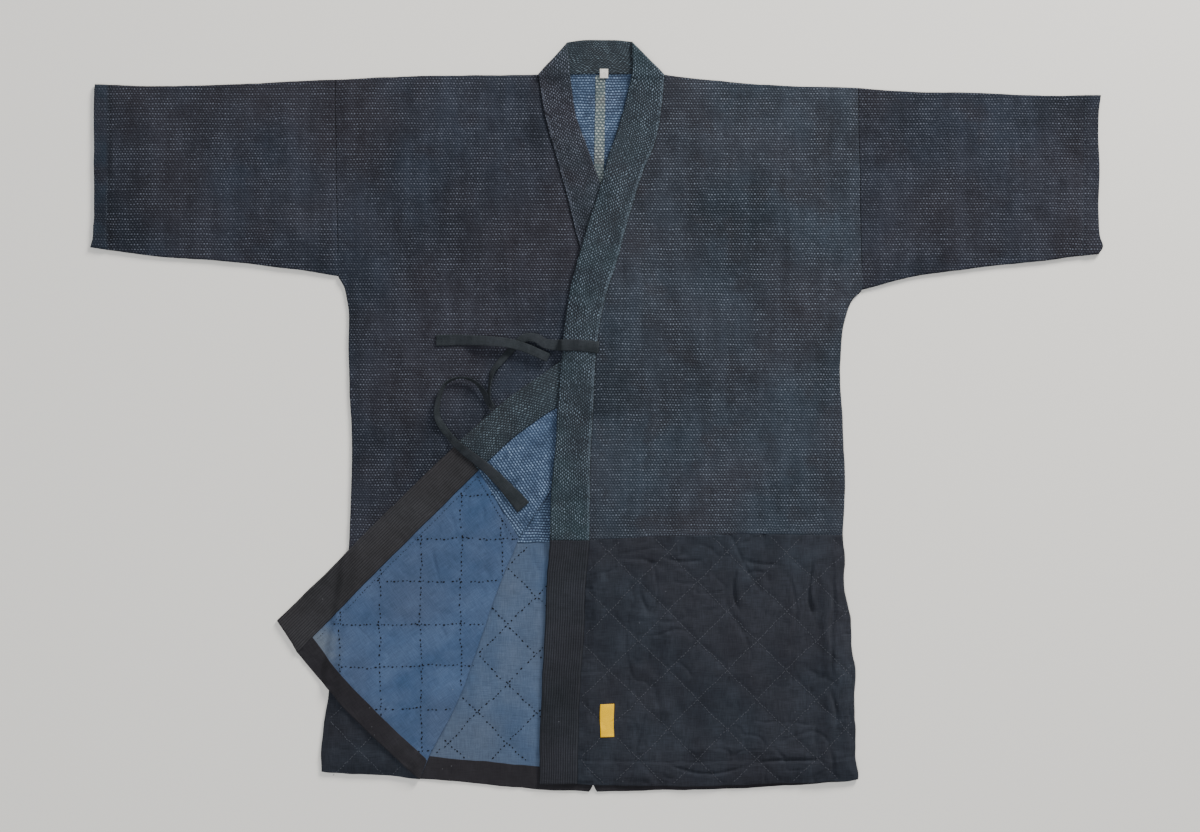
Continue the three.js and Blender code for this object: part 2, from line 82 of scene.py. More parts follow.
LAPEL_LEFT_SEAM = [
    (88, 443), (83, 390), (75, 350), (64, 325), (46, 272), (28, 205), (11, 151), (1, 91),
    (-4, 12), (-8, -70), (-9, -161),
]
LAPEL_LEFT_FREE = [
    (46, 486), (45.5, 446), (41, 420), (30, 380), (16, 337), (6, 300), (-10, 251), (-28, 190),
    (-37, 151), (-44, 83), (-49, 27), (-53, -38), (-58, -88), (-61, -161),
]
LOWER_LEFT_SEAM = [(-9, -161), (-14, -213), (-18, -304), (-23, -377), (-25, -478)]
LOWER_LEFT_FREE = [(-61, -161), (-64, -213), (-68.5, -304), (-72, -377), (-75, -478)]
LAPEL_RIGHT_SEAM = [
    (-76, 443), (-66, 385), (-51, 330), (-41, 294), (-27, 239), (-12, 180), (-5, 138), (-4.5, 27),
]
LAPEL_RIGHT_FREE = [
    (-38, 485), (-34, 443), (-26, 389), (-14, 355), (6, 300), (26, 239), (38, 180), (45, 138),
]
FOLD_BODY = [(-4.5, 27), (-63, -103), (-82, -132), (-100, -158)]
FOLD_SKIRT = [(-100, -158), (-128, -225), (-159, -316), (-181, -374), (-219, -447), (-229, -471)]
TURNED_FREE = [(45, 138), (-51, 68), (-125, 14), (-180, -35)]
TURNED_SEAM = [(-4.5, 27), (-52, 10), (-91, -15), (-153, -70)]
TURNED_LOWER_FREE = [(-180, -35), (-250, -103), (-320, -172), (-415, -266)]
TURNED_LOWER_SEAM = [(-153, -70), (-218, -135), (-290, -207), (-389, -308)]
TURNED_HEM = [(-389, -308), (-349, -354), (-285, -420), (-229, -471)]

WAIST_LEVEL = -150

# Quilting: how far apart its slanted lines are, measured along X, and a crossing in each panel

QUILT_DIAGONAL = 76.6
QUILT_CENTRE_FRONT = (131, -214.5)
QUILT_CENTRE_BACK = (-116, -348)
QUILT_CENTRE_UNDER = (-309, -433)
QUILT_SQUARES = {"x": -332, "y": -158.6, "across": 52.3, "down": 55.2}

BACK_OUTLINE = (
    BACK_HEM_RIGHT + BACK_HEM_LEFT + SKIRT_SIDE_LEFT[1:] + SIDE_LEFT[1:]
    + SHOULDER_LEFT[::-1] + SHOULDER_RIGHT + SIDE_RIGHT[::-1]
    + SKIRT_SIDE_RIGHT[::-1][1:-1]
)
FRONT_RIGHT_OUTLINE = (
    SHOULDER_RIGHT + SIDE_RIGHT[::-1] + SKIRT_SIDE_RIGHT[::-1][1:]
    + FOLD_SKIRT[::-1] + FOLD_BODY[::-1][1:] + LAPEL_RIGHT_SEAM[::-1][1:-1]
)
FRONT_LEFT_OUTLINE = (
    LAPEL_LEFT_SEAM + LOWER_LEFT_SEAM[1:] + FRONT_HEM_LEFT[1:] + SKIRT_SIDE_LEFT[1:] + SIDE_LEFT[1:]
    + SHOULDER_LEFT[::-1][:-1]
)
NECK_OUTLINE = [(-76, 443)] + NECK_TOP + [(88, 443)]
LAPEL_RIGHT_OUTLINE = LAPEL_RIGHT_SEAM + LAPEL_RIGHT_FREE[::-1]
LAPEL_LEFT_OUTLINE = (
    LAPEL_LEFT_SEAM + LOWER_LEFT_SEAM[1:] + LOWER_LEFT_FREE[::-1]
    + LAPEL_LEFT_FREE[::-1][1:]
)
TURNED_OUTLINE = (
    FOLD_BODY + FOLD_SKIRT[1:] + TURNED_HEM[::-1][1:]
    + TURNED_LOWER_SEAM[::-1][1:] + TURNED_SEAM[::-1][1:-1]
)
TURNED_BAND_OUTLINE = (
    TURNED_FREE + TURNED_LOWER_FREE[1:] + TURNED_LOWER_SEAM[::-1]
    + TURNED_SEAM[::-1][1:]
)

# Curves and fields


def smooth(points, fractions):
    """Cubic through the points at fractions of its chord length, each slope taken from the neighbours."""
    points = np.asarray(points, float)
    if chord(points) == 0:
        return np.repeat(points[:1], len(fractions), axis=0)
    knots = np.concatenate([[0], np.cumsum(np.linalg.norm(np.diff(points, axis=0), axis=1))])
    slopes = np.gradient(points, knots, axis=0)
    at = np.clip(np.asarray(fractions, float), 0, 1) * knots[-1]
    span = np.clip(np.searchsorted(knots, at, side="right") - 1, 0, len(points) - 2)
    width = (knots[span + 1] - knots[span])[:, None]
    t = (at[:, None] - knots[span][:, None]) / width
    start, end = points[span], points[span + 1]
    return (
        (2 * t**3 - 3 * t**2 + 1) * start + (t**3 - 2 * t**2 + t) * width * slopes[span]
        + (3 * t**2 - 2 * t**3) * end + (t**3 - t**2) * width * slopes[span + 1]
    )


def chord(points):
    return float(np.linalg.norm(np.diff(np.asarray(points, float), axis=0), axis=1).sum())


def step_up(value):
    """Smoothstep of a value that is cut to 0..1."""
    value = np.clip(value, 0, 1)
    return value * value * (3 - 2 * value)


def signed_distance(outline, x, y):
    """Distance to a closed outline, negative inside it, for whole arrays of points."""
    shape = np.shape(x)
    px, py = np.ravel(x)[:, None], np.ravel(y)[:, None]
    a = np.asarray(outline, float)
    b = np.roll(a, -1, axis=0)
    edge = b - a
    squared = np.maximum((edge**2).sum(axis=1), 1e-9)
    t = np.clip(((px - a[:, 0]) * edge[:, 0] + (py - a[:, 1]) * edge[:, 1]) / squared, 0, 1)
    away = np.hypot(px - a[:, 0] - t * edge[:, 0], py - a[:, 1] - t * edge[:, 1]).min(axis=1)
    rise = np.where(edge[:, 1] == 0, 1e-9, edge[:, 1])
    crosses = ((a[:, 1] > py) != (b[:, 1] > py)) & (px < edge[:, 0] * (py - a[:, 1]) / rise + a[:, 0])
    inside = crosses.sum(axis=1) % 2 == 1
    return np.where(inside, -away, away).reshape(shape)


def noise(x, y, size, seed):
    """Random heights from -1 to 1 on a slanted lattice with that spacing, blended by a smoothstep."""
    lattice = np.random.default_rng(SEED + seed).uniform(-1, 1, (97, 97))
    turn = 0.6 + seed
    gx = (x * math.cos(turn) - y * math.sin(turn)) / size + 300.3
    gy = (x * math.sin(turn) + y * math.cos(turn)) / size + 300.7
    ix, iy = np.floor(gx).astype(int), np.floor(gy).astype(int)
    fx, fy = step_up(gx - ix), step_up(gy - iy)

    def corner(right, up):
        return lattice[(iy + up) % 97, (ix + right) % 97]

    low = corner(0, 0) * (1 - fx) + corner(1, 0) * fx
    high = corner(0, 1) * (1 - fx) + corner(1, 1) * fx
    return low * (1 - fy) + high * fy


def creases(rows, x, y):
    """Soft ridges and troughs: height times a bell across each line, faded towards its two ends."""
    total = np.zeros(np.shape(x))
    for start_x, start_y, end_x, end_y, width, height in rows:
        dx, dy = end_x - start_x, end_y - start_y
        length = math.hypot(dx, dy)
        along = ((x - start_x) * dx + (y - start_y) * dy) / length**2
        across = ((x - start_x) * dy - (y - start_y) * dx) / length
        bend = 0.12 * length * np.sin(np.pi * np.clip(along, 0, 1)) * math.sin(start_x + end_y)
        fade = step_up(4 * along) * step_up(4 * (1 - along))
        total = total + height * fade * np.exp(-(((across - bend) / width) ** 2))
    return total


def floor_height(x, y):
    return np.zeros(np.shape(x))


def cover(base, pieces, reach=2.0, ramp=11.0):
    """The next layer's underside: it clears each piece below, and slopes down to the base beyond it.
    Where two pieces meet, an eighth-power mean makes one soft slope of theirs. The skirt, below the
    waist seam, is thinner than the body."""
    def height(x, y):
        total = np.zeros(np.shape(x))
        below_waist = step_up((WAIST_LEVEL - y) / 20)
        for outline, thickness in pieces:
            slope = 1 - step_up((signed_distance(outline, x, y) - reach) / ramp)
            thinner = (SASHIKO - SKIRT - 0.4) * below_waist if thickness < BAND else 0
            total = total + ((thickness - thinner + CLEARANCE) * slope) ** 8
        return base(x, y) + total ** 0.125
    return height


def air(outline, amount, size, seed, margin=70.0):
    """Air under a layer: smooth noise that fades to nothing towards the layer's edges."""
    def height(x, y):
        inner = step_up(-signed_distance(outline, x, y) / margin)
        wave = 0.5 + 0.35 * noise(x, y, size, seed) + 0.15 * noise(x, y, size / 2.3, seed + 1)
        return amount * inner * wave
    return height


def added(*fields):
    return lambda x, y: sum(field(x, y) for field in fields)


def quilted(along, across, valley=0.6):
    """Quilting whose lines lie at whole numbers: a valley beside each line and a dome between them."""
    def rise(value):
        arch = np.abs(np.sin(np.pi * value))
        return valley * (1 - np.exp(-((arch / 0.22) ** 2))) + (1 - valley) * arch
    return rise(along) * rise(across)


def diamonds(centre):
    """Quilting at 45 degrees: zero on the stitched lines, one in the middle of each square."""
    def pillow(x, y):
        wave_x = x + 1.5 * noise(x, y, 50, 33)
        wave_y = y + 1.5 * noise(x, y, 50, 34)
        along = (wave_x - centre[0] + wave_y - centre[1]) / QUILT_DIAGONAL
        across = (wave_x - centre[0] - wave_y + centre[1]) / QUILT_DIAGONAL
        return quilted(along, across)
    return pillow


def squares(x, y):
    """Quilting of the turned part, whose lines run along X and Y."""
    wave_x = x + 2.5 * noise(x, y, 60, 31)
    wave_y = y + 2.5 * noise(x, y, 60, 32)
    across = (wave_x - QUILT_SQUARES["x"]) / QUILT_SQUARES["across"]
    down = (wave_y - QUILT_SQUARES["y"]) / QUILT_SQUARES["down"]
    return quilted(across, down, 0)


def wrinkles(amount, size, seed, tall=1.0):
    """Thin curved troughs where a noise crosses zero, there only where a second noise is high. Above 1,
    tall draws them out along Y."""
    def height(x, y):
        y = y / tall
        bent = noise(x + 0.4 * size * noise(x, y, size, seed), y, size, seed + 1)
        there = step_up(1.8 * noise(x, y, 1.7 * size, seed + 2))
        return -amount * there * np.exp(-((bent / 0.13) ** 2))
    return height


def puckers(amount, seed):
    """Small irregular wrinkles of washed cotton, in two sizes."""
    def height(x, y):
        fine = noise(x + 6 * noise(x, y, 30, seed), y, 13, seed + 1)
        coarse = noise(x, y + 9 * noise(x, y, 45, seed + 2), 29, seed + 3)
        return amount * (0.55 * fine + 0.45 * coarse)
    return height


BODY_CREASES = [
    # start x, start y, end x, end y, width, height
    (320, 150, 190, 20, 11, 1.4),
    (335, 190, 230, 120, 9, 1.1),
    (300, 60, 210, -60, 12, 1.0),
    (120, 380, 150, 180, 14, 0.9),
    (240, 330, 260, 40, 18, 1.2),
    (90, 120, 110, -120, 13, 0.8),
    (-322, 165, -200, 40, 11, 1.3),
    (-335, 200, -240, 140, 9, 1.0),
    (-130, 400, -150, 170, 15, 0.9),
    (-250, 330, -262, 60, 17, 1.1),
    (-300, 60, -230, -60, 12, 0.9),
]
SKIRT_CREASES = [
    (308, -186, 303, -352, 2.9, -3.3), (313, -190, 314, -350, 7, 2.8), (296, -186, 293, -340, 6, 2.1),
    (283, -180, 281, -268, 2.5, -2.8), (289, -176, 287, -262, 5, 1.7),
    (247, -200, 246, -312, 2.9, -1.9), (253, -196, 252, -300, 6, 1.3),
    (184, -190, 187, -258, 2.2, -2.5), (189, -188, 192, -250, 5, 1.7),
    (303, -350, 310, -404, 2.9, -3), (296, -352, 299, -410, 6, 2.1), (288, -388, 284, -430, 2.9, -2.1),
    (304, -430, 302, -474, 2.9, -2.5), (297, -420, 294, -470, 6, 1.9),
    (80, -181, 142, -186, 2.2, -1.7), (186, -184, 240, -190, 2.5, -1.9), (190, -206, 222, -204, 2.2, -1.4),
    (83, -446, 200, -452, 1.9, -2.3), (190, -453, 300, -448, 1.9, -2.5), (70, -438, 300, -441, 6, 1.3),
    (30, -250, 90, -262, 5, 1.1), (140, -330, 230, -320, 7, 1.1), (60, -330, 80, -420, 5, -1.2),
    (-10, -210, -6, -300, 5, 1.3), (20, -410, 110, -380, 8, 1.1),
    (-330, -300, -322, -440, 8, 1.7), (-300, -470, -250, -420, 6, 1.3),
]
TURNED_CREASES = [
    (-140, -220, -215, -430, 13, 1.8),
    (-170, -120, -260, -230, 10, 1.2),
    (-250, -250, -330, -330, 9, 0.9),
    (-190, -300, -240, -400, 8, -0.8),
]


def faded(outline, field, margin=15.0):
    """A field that fades to nothing towards an outline's edges."""
    return lambda x, y: field(x, y) * step_up(-signed_distance(outline, x, y) / margin)


def front_creases(x, y):
    below_waist = step_up((WAIST_LEVEL - 5 - y) / 25)
    body = creases(BODY_CREASES, x, y)
    skirt = creases(SKIRT_CREASES, x, y)
    return 1.5 + body * (1 - below_waist) + (0.9 + skirt) * below_waist


def turned_creases(x, y):
    return creases(TURNED_CREASES, x, y) + 0.9


def over_the_right(ramp):
    """What lies on the right front, with slopes of that width beside it."""
    pieces = [(FRONT_RIGHT_OUTLINE, SASHIKO + 0.4), (LAPEL_RIGHT_OUTLINE, BAND + 0.9)]
    return cover(right_rest, pieces, 2, ramp)


def on_turned(base):
    """The turned part's underside: air and creases added to what it lies on."""
    return added(base, air(TURNED_OUTLINE, 2.0, 80, 5, 40.0), faded(TURNED_OUTLINE, turned_creases))


def over_the_turned(base, ramp):
    """What lies on the turned part and its band, with slopes of that width beside them."""
    return cover(base, [(TURNED_OUTLINE, SKIRT + 2.4), (TURNED_BAND_OUTLINE, BAND + 0.9)], 2, ramp)


# Width of the slopes on which the left front comes down beside the layers under it

BRIDGE = 55

over_back = cover(floor_height, [(BACK_OUTLINE, SASHIKO), (NECK_OUTLINE, BAND)])
right_rest = added(
    over_back,
    air(FRONT_RIGHT_OUTLINE, 3.0, 120, 1),
    faded(FRONT_RIGHT_OUTLINE, front_creases),
)
turned_rest = on_turned(over_the_right(11))
left_rest = added(
    over_the_turned(on_turned(over_the_right(BRIDGE)), BRIDGE),
    air(FRONT_LEFT_OUTLINE, 3.0, 125, 9),
    faded(FRONT_LEFT_OUTLINE, front_creases),
)
over_right = over_the_turned(turned_rest, 9)


def over_left(x, y):
    """What the ties lie on: the right front and its turned part, then the left lapel."""
    base = over_right(x, y)
    on_lapel = 1 - step_up((signed_distance(LAPEL_LEFT_OUTLINE, x, y) - 1) / 6)
    return base + (left_rest(x, y) + BAND + 1.0 - base) * on_lapel


# Walls


def spread(length, step):
    """Fractions from 0 to 1, close together within the edge's rounding and a step apart between."""
    rim = np.array(EDGE_OFFSETS)
    count = max(2, round((length - 2 * rim[-1]) / step))
    middle = np.linspace(rim[-1], length - rim[-1], count + 1)[1:-1]
    return np.concatenate([rim, middle, length - rim[::-1]]) / length


class Patch:
    """Grid between four sides: the two ruled surfaces' sum, less the bilinear one of the corners."""

    def __init__(self, low, high, left, right, step=4.0, step_along=None):
        self.across = (chord(low) + chord(high)) / 2
        self.along = (chord(left) + chord(right)) / 2
        across = spread(self.across, step)
        along = spread(self.along, step_along or step)
        u, v = across[None, :, None], along[:, None, None]
        bottom, top = smooth(low, across)[None], smooth(high, across)[None]
        first, last = smooth(left, along)[:, None], smooth(right, along)[:, None]
        corners = (
            (1 - u) * (1 - v) * bottom[:, :1] + u * (1 - v) * bottom[:, -1:]
            + (1 - u) * v * top[:, :1] + u * v * top[:, -1:]
        )
        plan = (1 - v) * bottom + v * top + (1 - u) * first + u * last - corners
        width = np.linalg.norm(last - first, axis=2)
        height = np.linalg.norm(top - bottom, axis=2)
        self.x, self.y = plan[..., 0], plan[..., 1]
        self.u, self.v = u[..., 0], v[..., 0]
        self.to = {
            "left": self.u * width, "right": (1 - self.u) * width,
            "low": self.v * height, "high": (1 - self.v) * height,
        }


ALL_SIDES = ("left", "right", "low", "high")


def between(left, right, step, step_along=None):
    """Patch between two lines, with straight ends."""
    return Patch([left[0], right[0]], [left[-1], right[-1]], left, right, step, step_along)


def rounding(distance, radius):
    """Quarter circle: 0 on the edge, 1 from a radius inwards."""
    inner = np.clip(distance / np.maximum(radius, 1e-6), 0, 1)
    return np.sqrt(np.clip(1 - (1 - inner) ** 2, 0, 1))


def wall(patch, bottom, top, cut=(), seam=(), fold=None, uv=None, faces=(0, 1)):
    """Closed wall between two height arrays. A cut edge is rounded to the wall's own thickness, a seam
    edge only a little, and a fold edge wraps down to the height of the layer that it joins."""
    bottom, top = np.array(bottom, float), np.array(top, float)
    outside = np.zeros(top.shape, bool)
    for name, lower in (fold or {}).items():
        centre, radius = (lower + top) / 2, (top - lower) / 2
        near = patch.to[name] < 1.25 * radius
        bulge = radius * rounding(patch.to[name], radius)
        bottom = np.where(near, np.minimum(bottom, centre - bulge), bottom)
        top = centre + bulge
        outside |= near
    middle, half = (bottom + top) / 2, (top - bottom) / 2
    fullness = np.ones(top.shape)
    for name in cut:
        fullness = np.minimum(fullness, rounding(patch.to[name], np.minimum(half, 2.3)))
    for name in seam:
        fullness = np.minimum(fullness, 0.55 + 0.45 * rounding(patch.to[name], 1.8))
    top, bottom = middle + half * fullness, middle - half * fullness
    rows, columns = top.shape
    x, y = np.broadcast_to(patch.x, top.shape), np.broadcast_to(patch.y, top.shape)
    upper = np.stack([x, y, top], axis=-1).reshape(-1, 3)
    under = np.stack([x, y, bottom], axis=-1).reshape(-1, 3)
    index = np.arange(rows * columns).reshape(rows, columns)
    quads = np.stack([index[:-1, :-1], index[:-1, 1:], index[1:, 1:], index[1:, :-1]], axis=-1)
    quads = quads.reshape(-1, 4)
    level = rows * columns
    loop = np.concatenate([index[0, :-1], index[:-1, -1], index[-1, :0:-1], index[:0:-1, 0]])
    following = np.roll(loop, -1)
    rim = np.stack([loop + level, following + level, following, loop], axis=-1)
    polygons = np.concatenate([quads, quads[:, ::-1] + level, rim])
    upright = (
        (patch.x[-1, 0] - patch.x[0, -1]) * (patch.y[-1, -1] - patch.y[0, 0])
        < (patch.x[-1, -1] - patch.x[0, 0]) * (patch.y[-1, 0] - patch.y[0, -1])
    )
    if not upright:
        polygons = polygons[:, ::-1]
    near_fold = outside[:-1, :-1].reshape(-1)
    under_faces = np.where(near_fold, faces[0], faces[1])
    materials = np.concatenate([
        np.full(len(quads), faces[0]), under_faces, np.full(len(rim), faces[0]),
    ])
    coordinates = uv(patch) if uv else np.stack([x, y], axis=-1)
    coordinates = np.broadcast_to(coordinates, (rows, columns, 2)).reshape(-1, 2)
    return {
        "points": np.concatenate([upper, under]),
        "faces": polygons,
        "materials": materials,
        "uv": np.concatenate([coordinates, coordinates]),
    }


def pulled(points):
    """Points moved a little in the plane by one field for all pieces, so that edges and seams wander
    together: half a millimetre in most places, and up to 3 mm at the left side of the skirt."""
    x, y = points[:, 0], points[:, 1]
    below_waist = step_up((WAIST_LEVEL - y) / 60)
    amount = 0.5 + below_waist * (0.3 + 1.4 * step_up((x - 230) / 80))
    aside = noise(x, y, 31, 201) + 0.4 * noise(x, y, 12, 202)
    upward = noise(x, y, 31, 203) + 0.4 * noise(x, y, 12, 204)
    return np.stack([x + amount * aside, y + amount * upward, points[:, 2]], axis=1)


def cloth_mesh(name, points, faces, uv, materials):
    """Mesh in metres with its cloth coordinates, from points and coordinates in millimetres."""
    mesh = bpy.data.meshes.new(name)
    mesh.from_pydata((pulled(points) * MM).tolist(), [], faces)
    for material in materials:
        mesh.materials.append(material)
    corners = np.empty(len(mesh.loops), np.int32)
    mesh.loops.foreach_get("vertex_index", corners)
    layer_uv = mesh.uv_layers.new(name="cloth")
    layer_uv.data.foreach_set("uv", (uv[corners] * MM).astype(np.float32).ravel())
    return mesh


def smooth_piece(name, mesh):
    """The finished mesh as an object with smooth shading, which rides on the part's only body."""
    mesh.polygons.foreach_set("use_smooth", np.ones(len(mesh.polygons), bool))
    mesh.update()
    piece = bpy.data.objects.new(name, mesh)
    bpy.context.scene.collection.objects.link(piece)
    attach(piece, "root")
    return piece


def build(name, parts, materials):
    """One piece from walls and stitches, with its doubles merged."""
    counts = np.cumsum([0] + [len(part["points"]) for part in parts])
    points = np.concatenate([part["points"] for part in parts])
    faces = np.concatenate([part["faces"] + start for part, start in zip(parts, counts)])
    uv = np.concatenate([part["uv"] for part in parts])
    mesh = cloth_mesh(name, points, faces.tolist(), uv, materials)
    chosen = np.concatenate([part["materials"] for part in parts])
    mesh.polygons.foreach_set("material_index", chosen.astype(np.int32))
    work = bmesh.new()
    work.from_mesh(mesh)
    bmesh.ops.remove_doubles(work, verts=work.verts, dist=2e-6)
    bmesh.ops.dissolve_degenerate(work, edges=work.edges, dist=1e-7)
    work.to_mesh(mesh)
    work.free()
    return smooth_piece(name, mesh)


# Stitches: a lens is three rings of four points, the outer two smaller, closed by a face at each end

LENS_ALONG = np.repeat([-1.0, 0.0, 1.0], 4)
LENS_ACROSS = np.tile([1.0, 0.0, -1.0, 0.0], 3) * np.repeat([0.35, 1.0, 0.35], 4)
LENS_UP = np.tile([0.0, 1.0, 0.0, -1.0], 3) * np.repeat([0.35, 1.0, 0.35], 4)
LENS_FACES = np.array(
    [[4 * ring + side, 4 * ring + (side + 1) % 4, 4 * ring + 4 + (side + 1) % 4, 4 * ring + 4 + side]
     for ring in range(2) for side in range(4)] + [[3, 2, 1, 0], [8, 9, 10, 11]]
)


# Length, width and rise of each kind of stitch, then how far apart they are along a line

SEAM_STITCH = (2.2, 0.8, 0.5)
SECOND_SEAM_STITCH = (2.0, 0.7, 0.4)
CUFF_STITCH = (2.2, 0.7, 0.4)
QUILT_STITCH = (2.8, 0.8, 0.42)
UNDER_QUILT_STITCH = (2.7, 0.85, 0.34)
DARK_SEAM_STITCH = (2.2, 1.0, 0.45)
LARGE_DOT = (2.8, 2.2, 0.6)
SMALL_DOT = (1.9, 1.6, 0.5)
SEAM_PITCH = 3.6
CUFF_PITCH = 3.8
QUILT_PITCH = 4.3
DARK_SEAM_PITCH = 4.4
DOT_PITCH = 11


def stitches(places, surface, size, material):
    """One small closed lens for each row of x, y and angle, sunk by half into the cloth's surface."""
    length, width, rise = size
    x, y, angle = np.asarray(places, float).T
    random = np.random.default_rng(SEED + len(x))
    angle = angle + random.normal(0, 0.09, len(x))
    along = LENS_ALONG * length / 2 * random.uniform(0.75, 1.2, (len(x), 1))
    across = LENS_ACROSS * width / 2
    px = x[:, None] + along * np.cos(angle)[:, None] - across * np.sin(angle)[:, None]
    py = y[:, None] + along * np.sin(angle)[:, None] + across * np.cos(angle)[:, None]
    pz = surface(px, py) + LENS_UP * rise
    points = np.stack([px, py, pz], axis=-1).reshape(-1, 3)
    faces = (LENS_FACES[None] + 12 * np.arange(len(x))[:, None, None]).reshape(-1, 4)
    return {
        "points": points, "faces": faces, "materials": np.full(len(faces), material), "uv": points[:, :2],
    }


def running(lines, pitch, seed, wander=0.35):
    """Stitch places along straight lines that are given by their ends, with a little unevenness."""
    random = np.random.default_rng(SEED + seed)
    rows = []
    for start_x, start_y, end_x, end_y in lines:
        length = math.hypot(end_x - start_x, end_y - start_y)
        count = int(length / pitch)
        at = (np.arange(count) + 0.5) * pitch + random.normal(0, 0.1 * pitch, count)
        x = start_x + at / length * (end_x - start_x)
        y = start_y + at / length * (end_y - start_y)
        bend = wander * 2.2 * noise(x, y, 34, seed) + random.normal(0, wander, len(at))
        angle = math.atan2(end_y - start_y, end_x - start_x)
        x, y = x - bend * math.sin(angle), y + bend * math.cos(angle)
        rows.append(np.stack([x, y, np.full(count, angle)], axis=1))
    return np.concatenate(rows)


def beside(points, offset, pitch, seed, wander=0.25):
    """Stitch places along a curve, moved off it to the left by the offset."""
    random = np.random.default_rng(SEED + seed)
    count = int(chord(points) / pitch)
    at = (np.arange(count) + 0.5 + random.normal(0, 0.08, count)) / count
    place = smooth(points, at)
    ahead = smooth(points, at + 0.002) - smooth(points, at - 0.002)
    angle = np.arctan2(ahead[:, 1], ahead[:, 0])
    off = offset + random.normal(0, wander, count)
    return np.stack([place[:, 0] - off * np.sin(angle), place[:, 1] + off * np.cos(angle), angle], axis=1)


def moved_on(places, along, aside, share, seed):
    """A share of the stitches, moved on along their lines and to the side."""
    x, y, angle = places[np.random.default_rng(SEED + seed).random(len(places)) < share].T
    second_x = x + along * np.cos(angle) - aside * np.sin(angle)
    second_y = y + along * np.sin(angle) + aside * np.cos(angle)
    return np.stack([second_x, second_y, angle], axis=1)


def dotted(quilting, surface, material):
    """Inside of the quilting: a large dot each 11 mm and a smaller one about half way to the next."""
    if not len(quilting):
        return []
    top = on_top(surface, 0, None, 0.3)
    return [
        stitches(quilting, top, LARGE_DOT, material),
        stitches(moved_on(quilting, 5.1, 0.5, 0.9, 143), top, SMALL_DOT, material),
    ]


def within(places, outline, margin):
    """The places that lie inside an outline by at least the margin."""
    return places[signed_distance(outline, places[:, 0], places[:, 1]) < -margin]


def outside(places, outline, margin):
    return places[signed_distance(outline, places[:, 0], places[:, 1]) > margin]


def diamond_lines(centre, reach=420):
    """Both sets of slanted quilting lines through and beside a crossing."""
    lines = []
    for step in range(-12, 13):
        away = step * QUILT_DIAGONAL / 2
        x, y = centre[0] + away, centre[1] - away
        lines.append((x - reach, y - reach, x + reach, y + reach))
        x, y = centre[0] + away, centre[1] + away
        lines.append((x - reach, y + reach, x + reach, y - reach))
    return lines


def square_lines():
    """Quilting lines of the turned part, along X and along Y."""
    columns = [QUILT_SQUARES["x"] + step * QUILT_SQUARES["across"] for step in range(-1, 6)]
    rows = [QUILT_SQUARES["y"] - step * QUILT_SQUARES["down"] for step in range(-1, 6)]
    return [(x, -40, x, -480) for x in columns] + [(-400, y, -90, y) for y in rows]


# Cloth finishes


def srgb(red, green, blue):
    """Linear colour of a colour that is given as 0..255 on a screen."""
    def linear(channel):
        value = channel / 255
        return value / 12.92 if value < 0.04045 else ((value + 0.055) / 1.055) ** 2.4
    return (linear(red), linear(green), linear(blue), 1)


class Nodes:
    """Short hand for laying out the nodes of a material or of a shared effect."""

    def __init__(self, tree):
        self.tree = tree

    def add(self, kind, **values):
        node = self.tree.nodes.new(kind)
        for name, value in values.items():
            setattr(node, name, value)
        return node

    def feed(self, socket, value):
        if isinstance(value, bpy.types.NodeSocket):
            self.tree.links.new(value, socket)
        elif value is not None:
            socket.default_value = value

    def math(self, operation, a, b=None, c=None, clamp=False):
        node = self.add("ShaderNodeMath", operation=operation, use_clamp=clamp)
        for socket, value in zip(node.inputs, (a, b, c)):
            self.feed(socket, value)
        return node.outputs[0]

    def ramp(self, value, low, high, out_low=0.0, out_high=1.0):
        node = self.add("ShaderNodeMapRange", interpolation_type="SMOOTHSTEP")
        for socket, entry in zip(node.inputs, (value, low, high, out_low, out_high)):
            self.feed(socket, entry)
        return node.outputs[0]

    def mix(self, factor, a, b, blend="MIX"):
        node = self.add("ShaderNodeMix", data_type="RGBA", blend_type=blend)
        self.feed(node.inputs[0], factor)
        self.feed(node.inputs[6], a)
        self.feed(node.inputs[7], b)
        return node.outputs[2]

    def noise(self, vector, scale, detail=2.0, rough=0.5, stretch=None):
        if stretch:
            mapping = self.add("ShaderNodeMapping")
            self.feed(mapping.inputs["Vector"], vector)
            mapping.inputs["Scale"].default_value = stretch
            vector = mapping.outputs[0]
        node = self.add("ShaderNodeTexNoise")
        self.feed(node.inputs["Vector"], vector)
        self.feed(node.inputs["Scale"], scale)
        node.inputs["Detail"].default_value = detail
        node.inputs["Roughness"].default_value = rough
        return node.outputs["Fac"]

    def group(self, name, **inputs):
        node = self.add("ShaderNodeGroup", node_tree=bpy.data.node_groups[name])
        for key, value in inputs.items():
            self.feed(node.inputs[key.replace("_", " ")], value)
        return node.outputs


def effect(name, inputs, outputs):
    """Empty shared effect with its named inputs and outputs."""
    tree = bpy.data.node_groups.new(name, "ShaderNodeTree")
    for label, kind, value in inputs:
        socket = tree.interface.new_socket(label, in_out="INPUT", socket_type=kind)
        if value is not None:
            socket.default_value = value
    for label, kind in outputs:
        tree.interface.new_socket(label, in_out="OUTPUT", socket_type=kind)
    nodes = Nodes(tree)
    return nodes, nodes.add("NodeGroupInput").outputs, nodes.add("NodeGroupOutput").inputs


FLOAT, VECTOR = "NodeSocketFloat", "NodeSocketVector"


